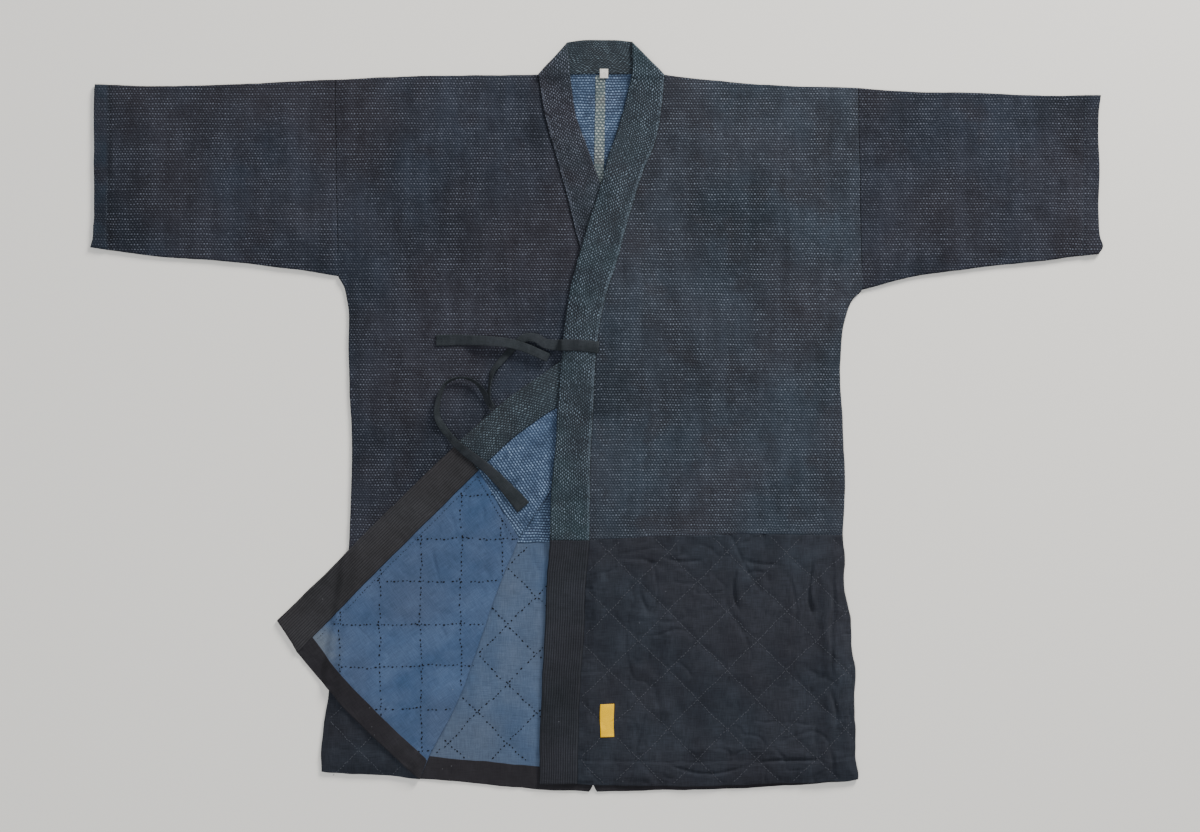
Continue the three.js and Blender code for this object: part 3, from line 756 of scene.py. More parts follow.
def rice_grain():
    """Sashiko weave: raised thread grains in rows, each second row half a grain on and a little weaker."""
    nodes, given, out = effect(
        "rice grain weave",
        [
            ("Vector", VECTOR, None), ("Pitch", FLOAT, 0.0039), ("Row", FLOAT, 0.00325),
            ("Weak Row", FLOAT, 0.6), ("Length", FLOAT, 0.42), ("Wander", FLOAT, 0.0022),
        ],
        [("Grain", FLOAT), ("Height", FLOAT)],
    )
    wander = nodes.add("ShaderNodeTexNoise", noise_dimensions="2D")
    nodes.feed(wander.inputs["Vector"], given["Vector"])
    wander.inputs["Scale"].default_value = 70
    wander.inputs["Detail"].default_value = 2
    split = nodes.add("ShaderNodeSeparateXYZ")
    nodes.feed(split.inputs[0], given["Vector"])
    drift = nodes.math("MULTIPLY", nodes.math("SUBTRACT", wander.outputs["Fac"], 0.5), given["Wander"])
    row = nodes.math("DIVIDE", nodes.math("ADD", split.outputs["Y"], drift), given["Row"])
    row_index = nodes.math("FLOOR", row)
    odd = nodes.math("MODULO", nodes.math("ABSOLUTE", row_index), 2.0)
    along = nodes.math("DIVIDE", nodes.math("ADD", split.outputs["X"], drift), given["Pitch"])
    along = nodes.math("MULTIPLY_ADD", odd, 0.5, along)
    cell = nodes.add("ShaderNodeCombineXYZ")
    nodes.feed(cell.inputs[0], nodes.math("FLOOR", along))
    nodes.feed(cell.inputs[1], row_index)
    chance = nodes.add("ShaderNodeTexWhiteNoise", noise_dimensions="2D")
    nodes.feed(chance.inputs["Vector"], cell.outputs[0])
    across = nodes.math("SUBTRACT", nodes.math("FRACT", row), 0.5)
    aside = nodes.math("SUBTRACT", nodes.math("FRACT", along), 0.5)
    distance = nodes.math("SQRT", nodes.math(
        "ADD",
        nodes.math("POWER", nodes.math("MULTIPLY", nodes.math("ABSOLUTE", across), 2.3), 2.0),
        nodes.math("POWER", nodes.math("DIVIDE", nodes.math("ABSOLUTE", aside), given["Length"]), 2.0),
    ))
    weaker = nodes.math("MULTIPLY", odd, nodes.math("SUBTRACT", 1.0, given["Weak Row"]))
    strength = nodes.math("SUBTRACT", 1.0, weaker)
    patchy = nodes.ramp(nodes.noise(given["Vector"], 34, 3, 0.65), 0.32, 0.66, 0.35, 1.15)
    uneven = nodes.math("MULTIPLY", nodes.math("MULTIPLY_ADD", chance.outputs["Value"], 0.8, 0.5), patchy)
    shape = nodes.ramp(distance, 1.0, 0.25)
    grain = nodes.math("MULTIPLY", nodes.math("MULTIPLY", shape, strength), uneven)
    nodes.feed(out["Grain"], grain)
    nodes.feed(out["Height"], nodes.math("MULTIPLY", shape, nodes.math("MULTIPLY_ADD", strength, 0.5, 0.5)))


def plain_weave():
    """Fine cotton weave: crossed yarns with slubs, as a height and as a small change of tone."""
    nodes, given, out = effect(
        "plain cotton weave",
        [("Vector", VECTOR, None), ("Yarn", FLOAT, 0.0008)],
        [("Height", FLOAT), ("Tone", FLOAT)],
    )
    split = nodes.add("ShaderNodeSeparateXYZ")
    nodes.feed(split.inputs[0], given["Vector"])
    turn = nodes.math("DIVIDE", math.tau, given["Yarn"])
    warp = nodes.math("SINE", nodes.math("MULTIPLY", split.outputs["X"], turn))
    weft = nodes.math("SINE", nodes.math("MULTIPLY", split.outputs["Y"], turn))
    slub_across = nodes.noise(given["Vector"], 1.0, 3, 0.6, (60, 900, 1))
    slub_along = nodes.noise(given["Vector"], 1.0, 3, 0.6, (900, 60, 1))
    crossing = nodes.math("MULTIPLY", warp, weft)
    nodes.feed(out["Height"], nodes.math("MULTIPLY_ADD", crossing, 0.5, slub_across))
    nodes.feed(out["Tone"], nodes.math("MULTIPLY", nodes.math("ADD", slub_across, slub_along), 0.5))


def indigo_fading():
    """Uneven washing out of the dye: broad patches, vertical streaks and small blotches, from 0 to 1."""
    nodes, given, out = effect(
        "indigo fading",
        [("Vector", VECTOR, None), ("Patch Size", FLOAT, 0.16)],
        [("Faded", FLOAT), ("Tint", FLOAT)],
    )
    size = nodes.math("DIVIDE", 1.0, given["Patch Size"])
    broad = nodes.noise(given["Vector"], size, 2.5, 0.55)
    streak = nodes.noise(given["Vector"], nodes.math("MULTIPLY", size, 1.6), 2, 0.5, (2.2, 0.55, 1))
    blotch = nodes.noise(given["Vector"], nodes.math("MULTIPLY", size, 7.0), 3, 0.6)
    total = nodes.math("ADD", nodes.math("MULTIPLY", broad, 0.5), nodes.math("MULTIPLY", streak, 0.3))
    total = nodes.math("MULTIPLY_ADD", blotch, 0.2, total)
    nodes.feed(out["Faded"], nodes.ramp(total, 0.36, 0.64))
    moved = nodes.add("ShaderNodeMapping")
    nodes.feed(moved.inputs["Vector"], given["Vector"])
    moved.inputs["Location"].default_value = (3.1, 1.7, 0)
    other = nodes.noise(moved.outputs[0], nodes.math("MULTIPLY", size, 0.8), 2)
    nodes.feed(out["Tint"], nodes.ramp(other, 0.35, 0.65))


def lint():
    """Sparse pale fluff and dust specks, as a mask."""
    nodes, given, out = effect(
        "lint specks",
        [("Vector", VECTOR, None), ("Amount", FLOAT, 0.5)],
        [("Speck", FLOAT)],
    )
    fleck = nodes.add("ShaderNodeTexVoronoi", distance="EUCLIDEAN")
    nodes.feed(fleck.inputs["Vector"], given["Vector"])
    fleck.inputs["Scale"].default_value = 90
    spot = nodes.ramp(fleck.outputs["Distance"], 0.07, 0.02)
    chosen = nodes.add("ShaderNodeSeparateColor")
    nodes.feed(chosen.inputs[0], fleck.outputs["Color"])
    rare = nodes.math("LESS_THAN", chosen.outputs[0], nodes.math("MULTIPLY", given["Amount"], 0.3))
    nodes.feed(out["Speck"], nodes.math("MULTIPLY", spot, rare))


for make_effect in (rice_grain, plain_weave, indigo_fading, lint):
    make_effect()


def cloth_material(name, sheen, roughness=0.92):
    """Material with a soft cotton shader. Gives its nodes, its cloth coordinates and the shader."""
    material = bpy.data.materials.new(name)
    material.use_nodes = True
    tree = material.node_tree
    tree.nodes.clear()
    nodes = Nodes(tree)
    shader = nodes.add("ShaderNodeBsdfPrincipled")
    shader.inputs["Roughness"].default_value = roughness
    shader.inputs["Specular IOR Level"].default_value = 0.1
    shader.inputs["Sheen Weight"].default_value = sheen
    shader.inputs["Sheen Roughness"].default_value = 0.6
    output = nodes.add("ShaderNodeOutputMaterial")
    tree.links.new(shader.outputs[0], output.inputs[0])
    place = nodes.add("ShaderNodeUVMap", uv_map="cloth").outputs[0]
    return material, nodes, place, shader


def bumped(nodes, shader, height, distance):
    """Relief of the yarns, as high as the distance in metres."""
    bump = nodes.add("ShaderNodeBump")
    bump.inputs["Strength"].default_value = 1.0
    bump.inputs["Distance"].default_value = distance
    nodes.feed(bump.inputs["Height"], height)
    nodes.feed(shader.inputs["Normal"], bump.outputs[0])


def grey(nodes, value):
    """Grey of that brightness, to shade a colour with."""
    shade = nodes.add("ShaderNodeCombineColor")
    for socket in shade.inputs[:3]:
        nodes.feed(socket, value)
    return shade.outputs[0]


def sashiko(name, ground, worn, tint, grain_colour, fade_size=0.16, row=0.00325, weak=0.4, length=0.42,
            pitch=0.0039, wander=0.0022, pale_seam_line=0.0, cuff_at=None):
    """Rice-grain cotton: dyed ground that fades in patches, paler on the raised grains. A band is paler along
    a line beside its seam, and the right sleeve has a bluish hem beyond the place of its cuff, with a line of
    painted shade along the hem's stitched groove."""
    material, nodes, place, shader = cloth_material(name, 0.03)
    weave = nodes.group(
        "rice grain weave", Vector=place, Row=row, Weak_Row=weak, Length=length, Pitch=pitch, Wander=wander,
    )
    fading = nodes.group("indigo fading", Vector=place, Patch_Size=fade_size)
    fine = nodes.group("plain cotton weave", Vector=place, Yarn=0.0007)
    colour = nodes.mix(fading["Faded"], srgb(*ground), srgb(*worn))
    colour = nodes.mix(nodes.math("MULTIPLY", fading["Tint"], 0.55), colour, srgb(*tint))
    warm = nodes.ramp(nodes.noise(place, 19, 3, 0.6), 0.5, 0.7, 0.0, 0.45)
    colour = nodes.mix(warm, colour, srgb(1.3 * ground[0], 1.02 * ground[1], 0.95 * ground[2]))
    streak = nodes.ramp(nodes.noise(place, 1.0, 2, 0.5, (75, 9, 1)), 0.3, 0.7, 0.89, 1.11)
    colour = nodes.mix(1.0, colour, grey(nodes, streak), "MULTIPLY")
    grain_mask = nodes.math("MULTIPLY", weave["Grain"], 0.85)
    split = nodes.add("ShaderNodeSeparateXYZ")
    nodes.feed(split.inputs[0], place)
    if cuff_at:
        out = nodes.math("MULTIPLY", split.outputs["X"], -1.0)
        hem = nodes.ramp(out, cuff_at - 0.002, cuff_at + 0.006)
        patchy = nodes.ramp(nodes.noise(place, 26, 2), 0.38, 0.62, 0.0, 0.42)
        colour = nodes.mix(nodes.math("MULTIPLY", hem, patchy), colour, srgb(37, 50, 62))
        # Painted shade: a dark line along the hem's stitched groove, where the groove takes shade.
        from_fold = nodes.math("ABSOLUTE", nodes.math("SUBTRACT", out, cuff_at))
        fold = nodes.ramp(from_fold, 0.006, 0.0006, 0.0, 0.42)
        colour = nodes.mix(fold, colour, srgb(14, 16, 20))
        pressed = nodes.math("SUBTRACT", 1.0, nodes.math("MULTIPLY", hem, 0.5))
        grain_mask = nodes.math("MULTIPLY", grain_mask, pressed)
    colour = nodes.mix(grain_mask, colour, srgb(*grain_colour))
    if pale_seam_line:
        # Paler along a line just beside the band's seam, in patches.
        aside = nodes.math("ABSOLUTE", split.outputs["Y"])
        from_seam = nodes.math("ABSOLUTE", nodes.math("SUBTRACT", aside, 0.0022))
        seam_paling = nodes.ramp(from_seam, 0.0026, 0.0004, 0.0, pale_seam_line)
        seam_paling = nodes.math("MULTIPLY", seam_paling, nodes.ramp(nodes.noise(place, 110, 3, 0.6), 0.35, 0.6))
        colour = nodes.mix(seam_paling, colour, srgb(*grain_colour))
    speck = nodes.group("lint specks", Vector=place, Amount=0.35)
    colour = nodes.mix(nodes.math("MULTIPLY", speck["Speck"], 0.35), colour, srgb(130, 134, 138))
    nodes.feed(shader.inputs["Base Color"], colour)
    height = nodes.math("MULTIPLY_ADD", fine["Height"], 0.18, weave["Height"])
    bumped(nodes, shader, height, 0.0007)
    return material


def cotton(name, ground, worn, tint, fade_size=0.1, rows=None, slubs=0.22, rubbed_at=None):
    """Plain woven cotton: dyed ground with worn patches, slubby yarns and a little lint. Rows of machine
    stitching, that far apart, get painted shade in their troughs and a painted highlight on the ridges
    between them, and wear greys it round one place."""
    material, nodes, place, shader = cloth_material(name, 0.025)
    weave = nodes.group("plain cotton weave", Vector=place, Yarn=0.0009)
    fading = nodes.group("indigo fading", Vector=place, Patch_Size=fade_size)
    colour = nodes.mix(fading["Faded"], srgb(*ground), srgb(*worn))
    colour = nodes.mix(nodes.math("MULTIPLY", fading["Tint"], 0.6), colour, srgb(*tint))
    if rubbed_at:
        away = nodes.add("ShaderNodeVectorMath", operation="DISTANCE")
        nodes.feed(away.inputs[0], place)
        away.inputs[1].default_value = rubbed_at
        uneven = nodes.math("MULTIPLY_ADD", nodes.noise(place, 45, 3, 0.6), 0.04, away.outputs["Value"])
        colour = nodes.mix(nodes.ramp(uneven, 0.07, 0.025, 0.0, 0.75), colour, srgb(101, 109, 117))
    tone = nodes.ramp(weave["Tone"], 0.3, 0.7, 1 - slubs, 1 + slubs)
    colour = nodes.mix(1.0, colour, grey(nodes, tone), "MULTIPLY")
    if rows:
        split = nodes.add("ShaderNodeSeparateXYZ")
        nodes.feed(split.inputs[0], place)
        # Painted shade in the troughs of the stitched rows, and a painted highlight on the ridges between
        # them.
        wave = nodes.math("SINE", nodes.math("MULTIPLY", split.outputs["Y"], math.pi / rows))
        line = nodes.ramp(nodes.math("ABSOLUTE", wave), 0.0, 0.6, 0.42, 1.17)
        colour = nodes.mix(1.0, colour, grey(nodes, line), "MULTIPLY")
    speck = nodes.group("lint specks", Vector=place, Amount=0.4)
    colour = nodes.mix(nodes.math("MULTIPLY", speck["Speck"], 0.5), colour, srgb(138, 140, 146))
    nodes.feed(shader.inputs["Base Color"], colour)
    bumped(nodes, shader, weave["Height"], 0.00016)
    return material


def thread(name, colour, sheen=0.1, roughness=0.55):
    """Twisted sewing thread, with painted shade between its plies."""
    material, nodes, place, shader = cloth_material(name, sheen, roughness)
    ply = nodes.noise(place, 1500, 1)
    # Painted shade between the plies: a darker copy of the thread's colour.
    painted_ply_shade = srgb(*(0.82 * channel for channel in colour))
    shade = nodes.mix(nodes.ramp(ply, 0.3, 0.7), painted_ply_shade, srgb(*colour))
    nodes.feed(shader.inputs["Base Color"], shade)
    bumped(nodes, shader, ply, 0.0001)
    return material


# Where the right cuff's hem begins, and the worn corner of the turned skirt before it was folded back

CUFF_HEM_AT = 0.632
RUBBED_CORNER = (-0.061, -0.459, 0)
COLLAR_WEAVE = {"weak": 0.75, "pitch": 0.0044, "row": 0.0025, "wander": 0.006}

# Each finish: the dye where it is dark, where it is washed out and where it is tinted, then the grains

SASHIKO_OUTER = sashiko("dark indigo sashiko", (29, 35, 42), (46, 55, 65), (49, 45, 51), (101, 109, 121))
SASHIKO_DARKER = sashiko(
    "darker indigo sashiko", (25, 29, 37), (41, 47, 58), (44, 40, 45), (93, 98, 110), cuff_at=CUFF_HEM_AT,
)
SASHIKO_INNER = sashiko(
    "faded blue sashiko inside", (35, 46, 66), (53, 69, 93), (47, 61, 82), (124, 146, 175),
    weak=0.9, length=0.6, row=0.0035,
)
COLLAR_OUTER = sashiko(
    "dark green blue collar sashiko", (27, 34, 41), (40, 54, 59), (40, 42, 48), (111, 126, 139),
    fade_size=0.12, pale_seam_line=0.22, **COLLAR_WEAVE,
)
COLLAR_RIGHT = sashiko(
    "plum blue collar sashiko", (27, 29, 36), (40, 47, 53), (42, 37, 44), (108, 114, 128),
    fade_size=0.12, pale_seam_line=0.22, **COLLAR_WEAVE,
)
COLLAR_TURNED = sashiko(
    "collar sashiko inside", (29, 35, 42), (41, 51, 59), (43, 46, 49), (101, 116, 126),
    fade_size=0.08, **COLLAR_WEAVE,
)
SELVEDGE = sashiko(
    "pale selvedge", (69, 80, 84), (90, 101, 103), (78, 90, 97), (180, 190, 187),
    fade_size=0.03, row=0.0038, weak=0.9, pitch=0.005, length=0.5,
)
SKIRT_OUTER = cotton("near black indigo cotton", (34, 37, 44), (46, 51, 59), (42, 42, 48), slubs=0.34)
SKIRT_INNER = cotton(
    "mid blue cotton inside", (54, 75, 105), (74, 92, 121), (70, 81, 103),
    fade_size=0.12, rubbed_at=RUBBED_CORNER,
)
BACK_INNER = cotton("worn blue cotton inside", (64, 82, 108), (80, 95, 118), (80, 90, 106))
BAND_OUTER = cotton("dark ribbed band cotton", (31, 34, 38), (43, 45, 51), (38, 38, 43), rows=ROW_PITCH * MM)
BAND_INNER = cotton(
    "brown black band cotton inside", (38, 38, 40), (51, 51, 54), (46, 44, 46), rows=ROW_PITCH * MM,
)
HEM_INNER = cotton("hem facing", (33, 32, 35), (46, 45, 49), (39, 37, 41))
TAPE_CLOTH = cotton("tie tape", (33, 38, 41), (48, 52, 56), (40, 43, 48), fade_size=0.05)
TAB_CLOTH = cotton("white neck tab", (206, 204, 196), (226, 224, 216), (216, 212, 202), fade_size=0.01)
PALE_THREAD = thread("pale quilting thread", (77, 80, 89))
DARK_THREAD = thread("dark stitching thread", (10, 13, 20), 0.02)
SEAM_THREAD = thread("indigo seam thread", (72, 81, 92))
YELLOW_THREAD = thread("yellow satin thread", (255, 200, 0), 0.0, 0.45)

# Camera, floor and light

# Width in metres that the frame shows, the lens in millimetres, and the middle of the frame along X

PHOTO_WIDTH = 1.56
LENS, SENSOR = 50, 36
FRAME_CENTRE_X = 0.00455

camera_data = bpy.data.cameras.new("camera")
camera_data.lens = LENS
camera_data.sensor_width = SENSOR
camera = bpy.data.objects.new("camera", camera_data)
camera.location = (FRAME_CENTRE_X, 0, PHOTO_WIDTH * LENS / SENSOR)
bpy.context.scene.collection.objects.link(camera)
bpy.context.scene.camera = camera

floor_material = bpy.data.materials.new("pale floor")
floor_material.use_nodes = True
floor_shader = floor_material.node_tree.nodes["Principled BSDF"]
floor_shader.inputs["Base Color"].default_value = srgb(240, 237, 230)
floor_shader.inputs["Roughness"].default_value = 0.8
floor_mesh = bpy.data.meshes.new("floor")
floor_mesh.from_pydata([(-6, -6, 0), (6, -6, 0), (6, 6, 0), (-6, 6, 0)], [], [(0, 1, 2, 3)])
floor_mesh.materials.append(floor_material)
floor = bpy.data.objects.new("floor", floor_mesh)
bpy.context.scene.collection.objects.link(floor)


def lamp(name, place, size, power, colour=(1, 1, 1)):
    """Square soft light that looks at the middle of the garment."""
    data = bpy.data.lights.new(name, "AREA")
    data.shape = "SQUARE"
    data.size = size
    data.energy = power
    data.color = colour
    light = bpy.data.objects.new(name, data)
    light.location = place
    light.rotation_euler = (-Vector(place)).to_track_quat("-Z", "Y").to_euler()
    bpy.context.scene.collection.objects.link(light)


lamp("window light", (2.0, 3.1, 1.7), 1.2, 260, (1.0, 0.98, 0.95))
lamp("soft light", (-0.6, -0.8, 3.6), 2.6, 70, (0.95, 0.97, 1.0))
world = bpy.data.worlds.new("room")
world.use_nodes = True
world.node_tree.nodes["Background"].inputs[0].default_value = (0.9, 0.92, 0.95, 1)
world.node_tree.nodes["Background"].inputs[1].default_value = 0.4
bpy.context.scene.world = world

# Layers of cloth


def layer(patch, rest, thickness, relief=None, fold=None, cut=(), seam=(), uv=None, faces=(0, 1)):
    """Wall that lies on a height field: its own thickness, with a relief added on top."""
    bottom = np.broadcast_to(rest(patch.x, patch.y), patch.x.shape)
    top = bottom + thickness
    if relief is not None:
        top = top + relief(patch.x, patch.y)
    lower = {name: under(patch.x, patch.y) for name, under in (fold or {}).items()}
    return wall(patch, bottom, top, cut, seam, lower, uv, faces)


def mirrored_in_fold(patch):
    """Cloth coordinates of the turned part: its place before the front was folded back."""
    start, end = np.array(FOLD_BODY[0], float), np.array(FOLD_BODY[-1], float)
    along = (end - start) / np.linalg.norm(end - start)
    offset = np.stack([patch.x, patch.y], axis=-1) - start
    return 2 * (offset @ along)[..., None] * along - offset + start


def following(seam):
    """Cloth coordinates of a band: the distance along its seam, then the distance from the seam."""
    line = smooth(seam, np.linspace(0, 1, 160))
    start, end = line[0] + 60 * (line[0] - line[1]), line[-1] + 60 * (line[-1] - line[-2])
    line = np.concatenate([start[None], line, end[None]])
    travelled = np.concatenate([[0], np.cumsum(np.linalg.norm(np.diff(line, axis=0), axis=1))])
    edge = np.diff(line, axis=0)
    length = np.linalg.norm(edge, axis=1)

    def coordinates(patch):
        x, y = np.ravel(patch.x)[:, None], np.ravel(patch.y)[:, None]
        dx, dy = x - line[:-1, 0], y - line[:-1, 1]
        t = np.clip((dx * edge[:, 0] + dy * edge[:, 1]) / length**2, 0, 1)
        away = np.hypot(dx - t * edge[:, 0], dy - t * edge[:, 1])
        nearest = away.argmin(axis=1)
        row = np.arange(len(nearest))
        side = np.sign(dx[row, nearest] * edge[nearest, 1] - dy[row, nearest] * edge[nearest, 0])
        along = travelled[nearest] + t[row, nearest] * length[nearest]
        return np.stack([along, side * away[row, nearest]], axis=-1).reshape(patch.x.shape + (2,))
    return coordinates


def crosswise(patch):
    u, v = np.broadcast_arrays(patch.u, patch.v)
    return np.stack([u * patch.across, v * patch.along], axis=-1)


def body_relief(x, y):
    soft = 0.5 * noise(x, y, 34, 40) + 0.3 * noise(x, y, 15, 41) + 0.2 * noise(x, y, 7, 42)
    return soft + wrinkles(0.5, 46, 44)(x, y)


def on_top(rest, thickness, relief=None, lift=0.0):
    """Height of a layer's upper face, for what is sewn on it."""
    def height(x, y):
        return rest(x, y) + thickness + lift + (relief(x, y) if relief else 0)
    return height


def moved(points, x=0.0, y=0.0):
    return [(px + x, py + y) for px, py in points]


SELVEDGE_RISE = 0.7


def body_left():
    """Front and back in one, the selvedge that shows inside the neck, and two rows along the waist seam."""
    front = Patch(WAIST_LEFT, SHOULDER_LEFT, LAPEL_LEFT_SEAM[::-1], SIDE_LEFT + ARMHOLE_LEFT[1:], 3.4)
    back = Patch(
        [(-1, -162), (318, -155)],
        [(5, 445), (60, 445), (100, 439), (148, 433.5), (226, 427.5), (338, 423.5)],
        [(-1, -162), (5, 445)],
        moved(SIDE_LEFT, -2.5) + moved(ARMHOLE_LEFT[1:-1], -1) + [(338, 423.5)],
        9,
    )
    strip = between([(-7.6, -160), (-1.6, 442)], [(5.6, -160), (11.4, 442)], 1.5, 4)
    strip_bottom = np.full(strip.x.shape, SASHIKO - 0.5)
    strip_top = strip_bottom + 0.5 + SELVEDGE_RISE
    folds = {"high": floor_height, "right": floor_height}
    top = on_top(left_rest, SASHIKO, body_relief)
    return build("left_body_cloth", [
        layer(front, left_rest, SASHIKO, body_relief, folds, (), ("low", "left")),
        layer(back, floor_height, SASHIKO, None, None, ("high", "right"), ("low", "left"), faces=(1, 0)),
        wall(strip, strip_bottom, strip_top, ALL_SIDES, uv=crosswise, faces=(2, 2)),
        stitches(beside(WAIST_LEFT, 4.5, SEAM_PITCH, 101), top, SEAM_STITCH, 3),
        stitches(beside(WAIST_LEFT, 7.5, SEAM_PITCH, 102), top, SECOND_SEAM_STITCH, 3),
    ], [SASHIKO_OUTER, SASHIKO_INNER, SELVEDGE, SEAM_THREAD])


def body_right():
    """Front and back in one, and the corner of the front that is turned back."""
    front = Patch(
        WAIST_RIGHT,
        SHOULDER_RIGHT[::-1],
        SIDE_RIGHT + ARMHOLE_RIGHT[1:],
        FOLD_BODY[::-1] + LAPEL_RIGHT_SEAM[::-1][1:],
        3.4,
    )
    back = Patch(
        [(-320, -172), (-1, -162)],
        [(-338, 434.5), (-242, 438.5), (-90, 440), (-50, 445), (5, 445)],
        moved(SIDE_RIGHT, 2.5) + moved(ARMHOLE_RIGHT[1:-1], 1) + [(-338, 434.5)],
        [(-1, -162), (5, 445)],
        5,
    )
    turned = Patch(
        FOLD_BODY[::-1], TURNED_SEAM[::-1], [(-100, -158), (-153, -70)], [(-4.5, 27), (-4.5, 27)], 2.5,
    )
    folds = {"high": floor_height, "left": floor_height}
    waist_row = outside(beside(WAIST_RIGHT, 4.5, SEAM_PITCH, 103), TURNED_BAND_OUTLINE, 0)
    return build("right_body_cloth", [
        layer(front, right_rest, SASHIKO, body_relief, folds, ("right",), ("low",)),
        layer(back, floor_height, SASHIKO, None, None, ("high", "left"), ("low", "right"), faces=(1, 0)),
        layer(turned, turned_rest, SASHIKO, body_relief, {"low": right_rest}, (), ("high", "left"),
              mirrored_in_fold, (1, 0)),
        stitches(waist_row, on_top(right_rest, SASHIKO, body_relief), SEAM_STITCH, 2),
    ], [SASHIKO_DARKER, SASHIKO_INNER, SEAM_THREAD])


# Sleeves: places along the fold at the top and below them along the seam under the arm, then the cuffs

SLEEVE_RIGHT = [
    # top x, top y, under x, under y
    (-340, 437, -336, 182), (-405, 434, -405, 192), (-476, 431, -476, 200), (-577, 428, -577, 208),
    (-652, 431, -657.5, 219),
]
SLEEVE_LEFT = [
    (340, 426, 345, 164), (408, 421, 408, 180), (486, 420, 486, 191), (590, 416, 590, 203),
    (655, 416.5, 652, 210.5),
]
CUFF_RIGHT = [(-657.5, 219), (-654.5, 227), (-653, 245), (-652, 330), (-652.5, 400), (-652, 431)]
CUFF_LEFT = [
    (652, 210.5), (657.5, 220), (654, 231), (652, 258), (652.5, 330), (651.3, 368), (652.5, 400),
    (655, 416.5),
]
SLEEVE_CREASES_LEFT = [
    (352, 190, 420, 260, 11, 1.5), (400, 190, 470, 235, 10, 0.9), (390, 380, 520, 350, 15, 0.8),
    (560, 260, 620, 340, 14, 0.7),
]
SLEEVE_CREASES_RIGHT = [
    (-345, 205, -415, 275, 11, 1.5), (-400, 205, -480, 250, 10, 0.9), (-400, 390, -530, 360, 15, 0.8),
    (-560, 260, -610, 350, 14, 0.7),
]
CUFF_HEM = 22


def sleeve(name, rows):
    """Two walls between the seam at the body and the cuff, folded along the top and under the arm. The
    under wall stops a little short of the upper one, and a hem is turned in along the cuff."""
    top = [(x, y) for x, y, _, _ in rows]
    under = [(x, y) for _, _, x, y in rows]
    outward = 1 if rows[-1][0] > 0 else -1
    cuff = CUFF_LEFT if outward > 0 else CUFF_RIGHT
    armhole = ARMHOLE_LEFT if outward > 0 else ARMHOLE_RIGHT
    folds = SLEEVE_CREASES_LEFT if outward > 0 else SLEEVE_CREASES_RIGHT
    groove_depth = 0.7 if outward > 0 else 1.2
    inset = -outward * 1.5
    front = Patch(under, top, armhole, cuff, 2.8)
    back = Patch(
        moved(under[:-1], 0, 2.5) + moved(under[-1:], inset, 2.5),
        moved(top[:-1], 0, -2.5) + moved(top[-1:], inset, -2.5),
        moved([under[0], top[0]], outward * 0.5),
        moved(cuff[:1], inset, 2.5) + moved(cuff[1:-1], inset) + moved(cuff[-1:], inset, -2.5),
        7,
    )
    outline = top + under[::-1]
    air_inside = air(outline, 3.4, 85, 21 + outward, 55)
    cuff_x = (rows[-1][0] + rows[-1][2]) / 2

    def rest(x, y):
        crease = (creases(folds, x, y) + 0.8) * step_up(-signed_distance(outline, x, y) / 26)
        return SASHIKO + CLEARANCE + air_inside(x, y) + crease

    def relief(x, y):
        to_cuff = outward * (cuff_x - x)
        hem = 0.8 * step_up((CUFF_HEM - 0.5 - to_cuff) / 3)
        groove = np.exp(-(((to_cuff - CUFF_HEM) / 2.4) ** 2))
        return 0.8 * body_relief(x, y) + hem - groove_depth * groove

    hem_row = beside(moved([cuff[0], cuff[-1]], -outward * (CUFF_HEM - 1)), 0, CUFF_PITCH, 111)
    sides = {"low": floor_height, "high": floor_height}
    return build(name, [
        layer(front, rest, SASHIKO, relief, sides, ("right",), ("left",)),
        stitches(hem_row, on_top(rest, SASHIKO, relief, 0.1), CUFF_STITCH, 2),
        layer(back, floor_height, SASHIKO, None, None, ("low", "high", "right"), ("left",), faces=(1, 0)),
    ], [SASHIKO_DARKER, SASHIKO_INNER, SEAM_THREAD])


# Skirt: depth of its hem, how far a sewn-on layer is sunk into the cloth, and the block of satin stitch

SKIRT_HEM = 32
SUNK = 0.3
BLOCK_OUTLINE = [(5, -416), (23, -416), (23, -373), (5, -373)]
BLOCK_RISE = 1.0
SEAM_ALLOWANCE = 6


def hem_groove(distance):
    """Stitched line of the hem: a narrow trough above it, with a slightly thicker hem below."""
    trough = 0.7 * np.exp(-(((distance - SKIRT_HEM) / 1.6) ** 2))
    return 0.45 * step_up((SKIRT_HEM - 1 - distance) / 2.5) - trough


def skirt_relief(centre, hem_side, swell=1.1, rough=1.0):
    """Quilted cotton: pillows between the stitched lines, wrinkled most where they are fullest."""
    pillow = diamonds(centre)
    small, thin, finer = puckers(1.5, 61), wrinkles(2.0, 24, 65, 2.6), wrinkles(1.6, 26, 69, 0.6)

    def relief(x, y):
        full = pillow(x, y)
        uneven = 1.2 + (small(x, y) + thin(x, y) + finer(x, y)) * (0.35 + 0.65 * full)
        to_hem = -signed_distance(hem_side, x, y)
        return np.maximum(swell * full + rough * uneven + hem_groove(to_hem), -0.4)
    return relief


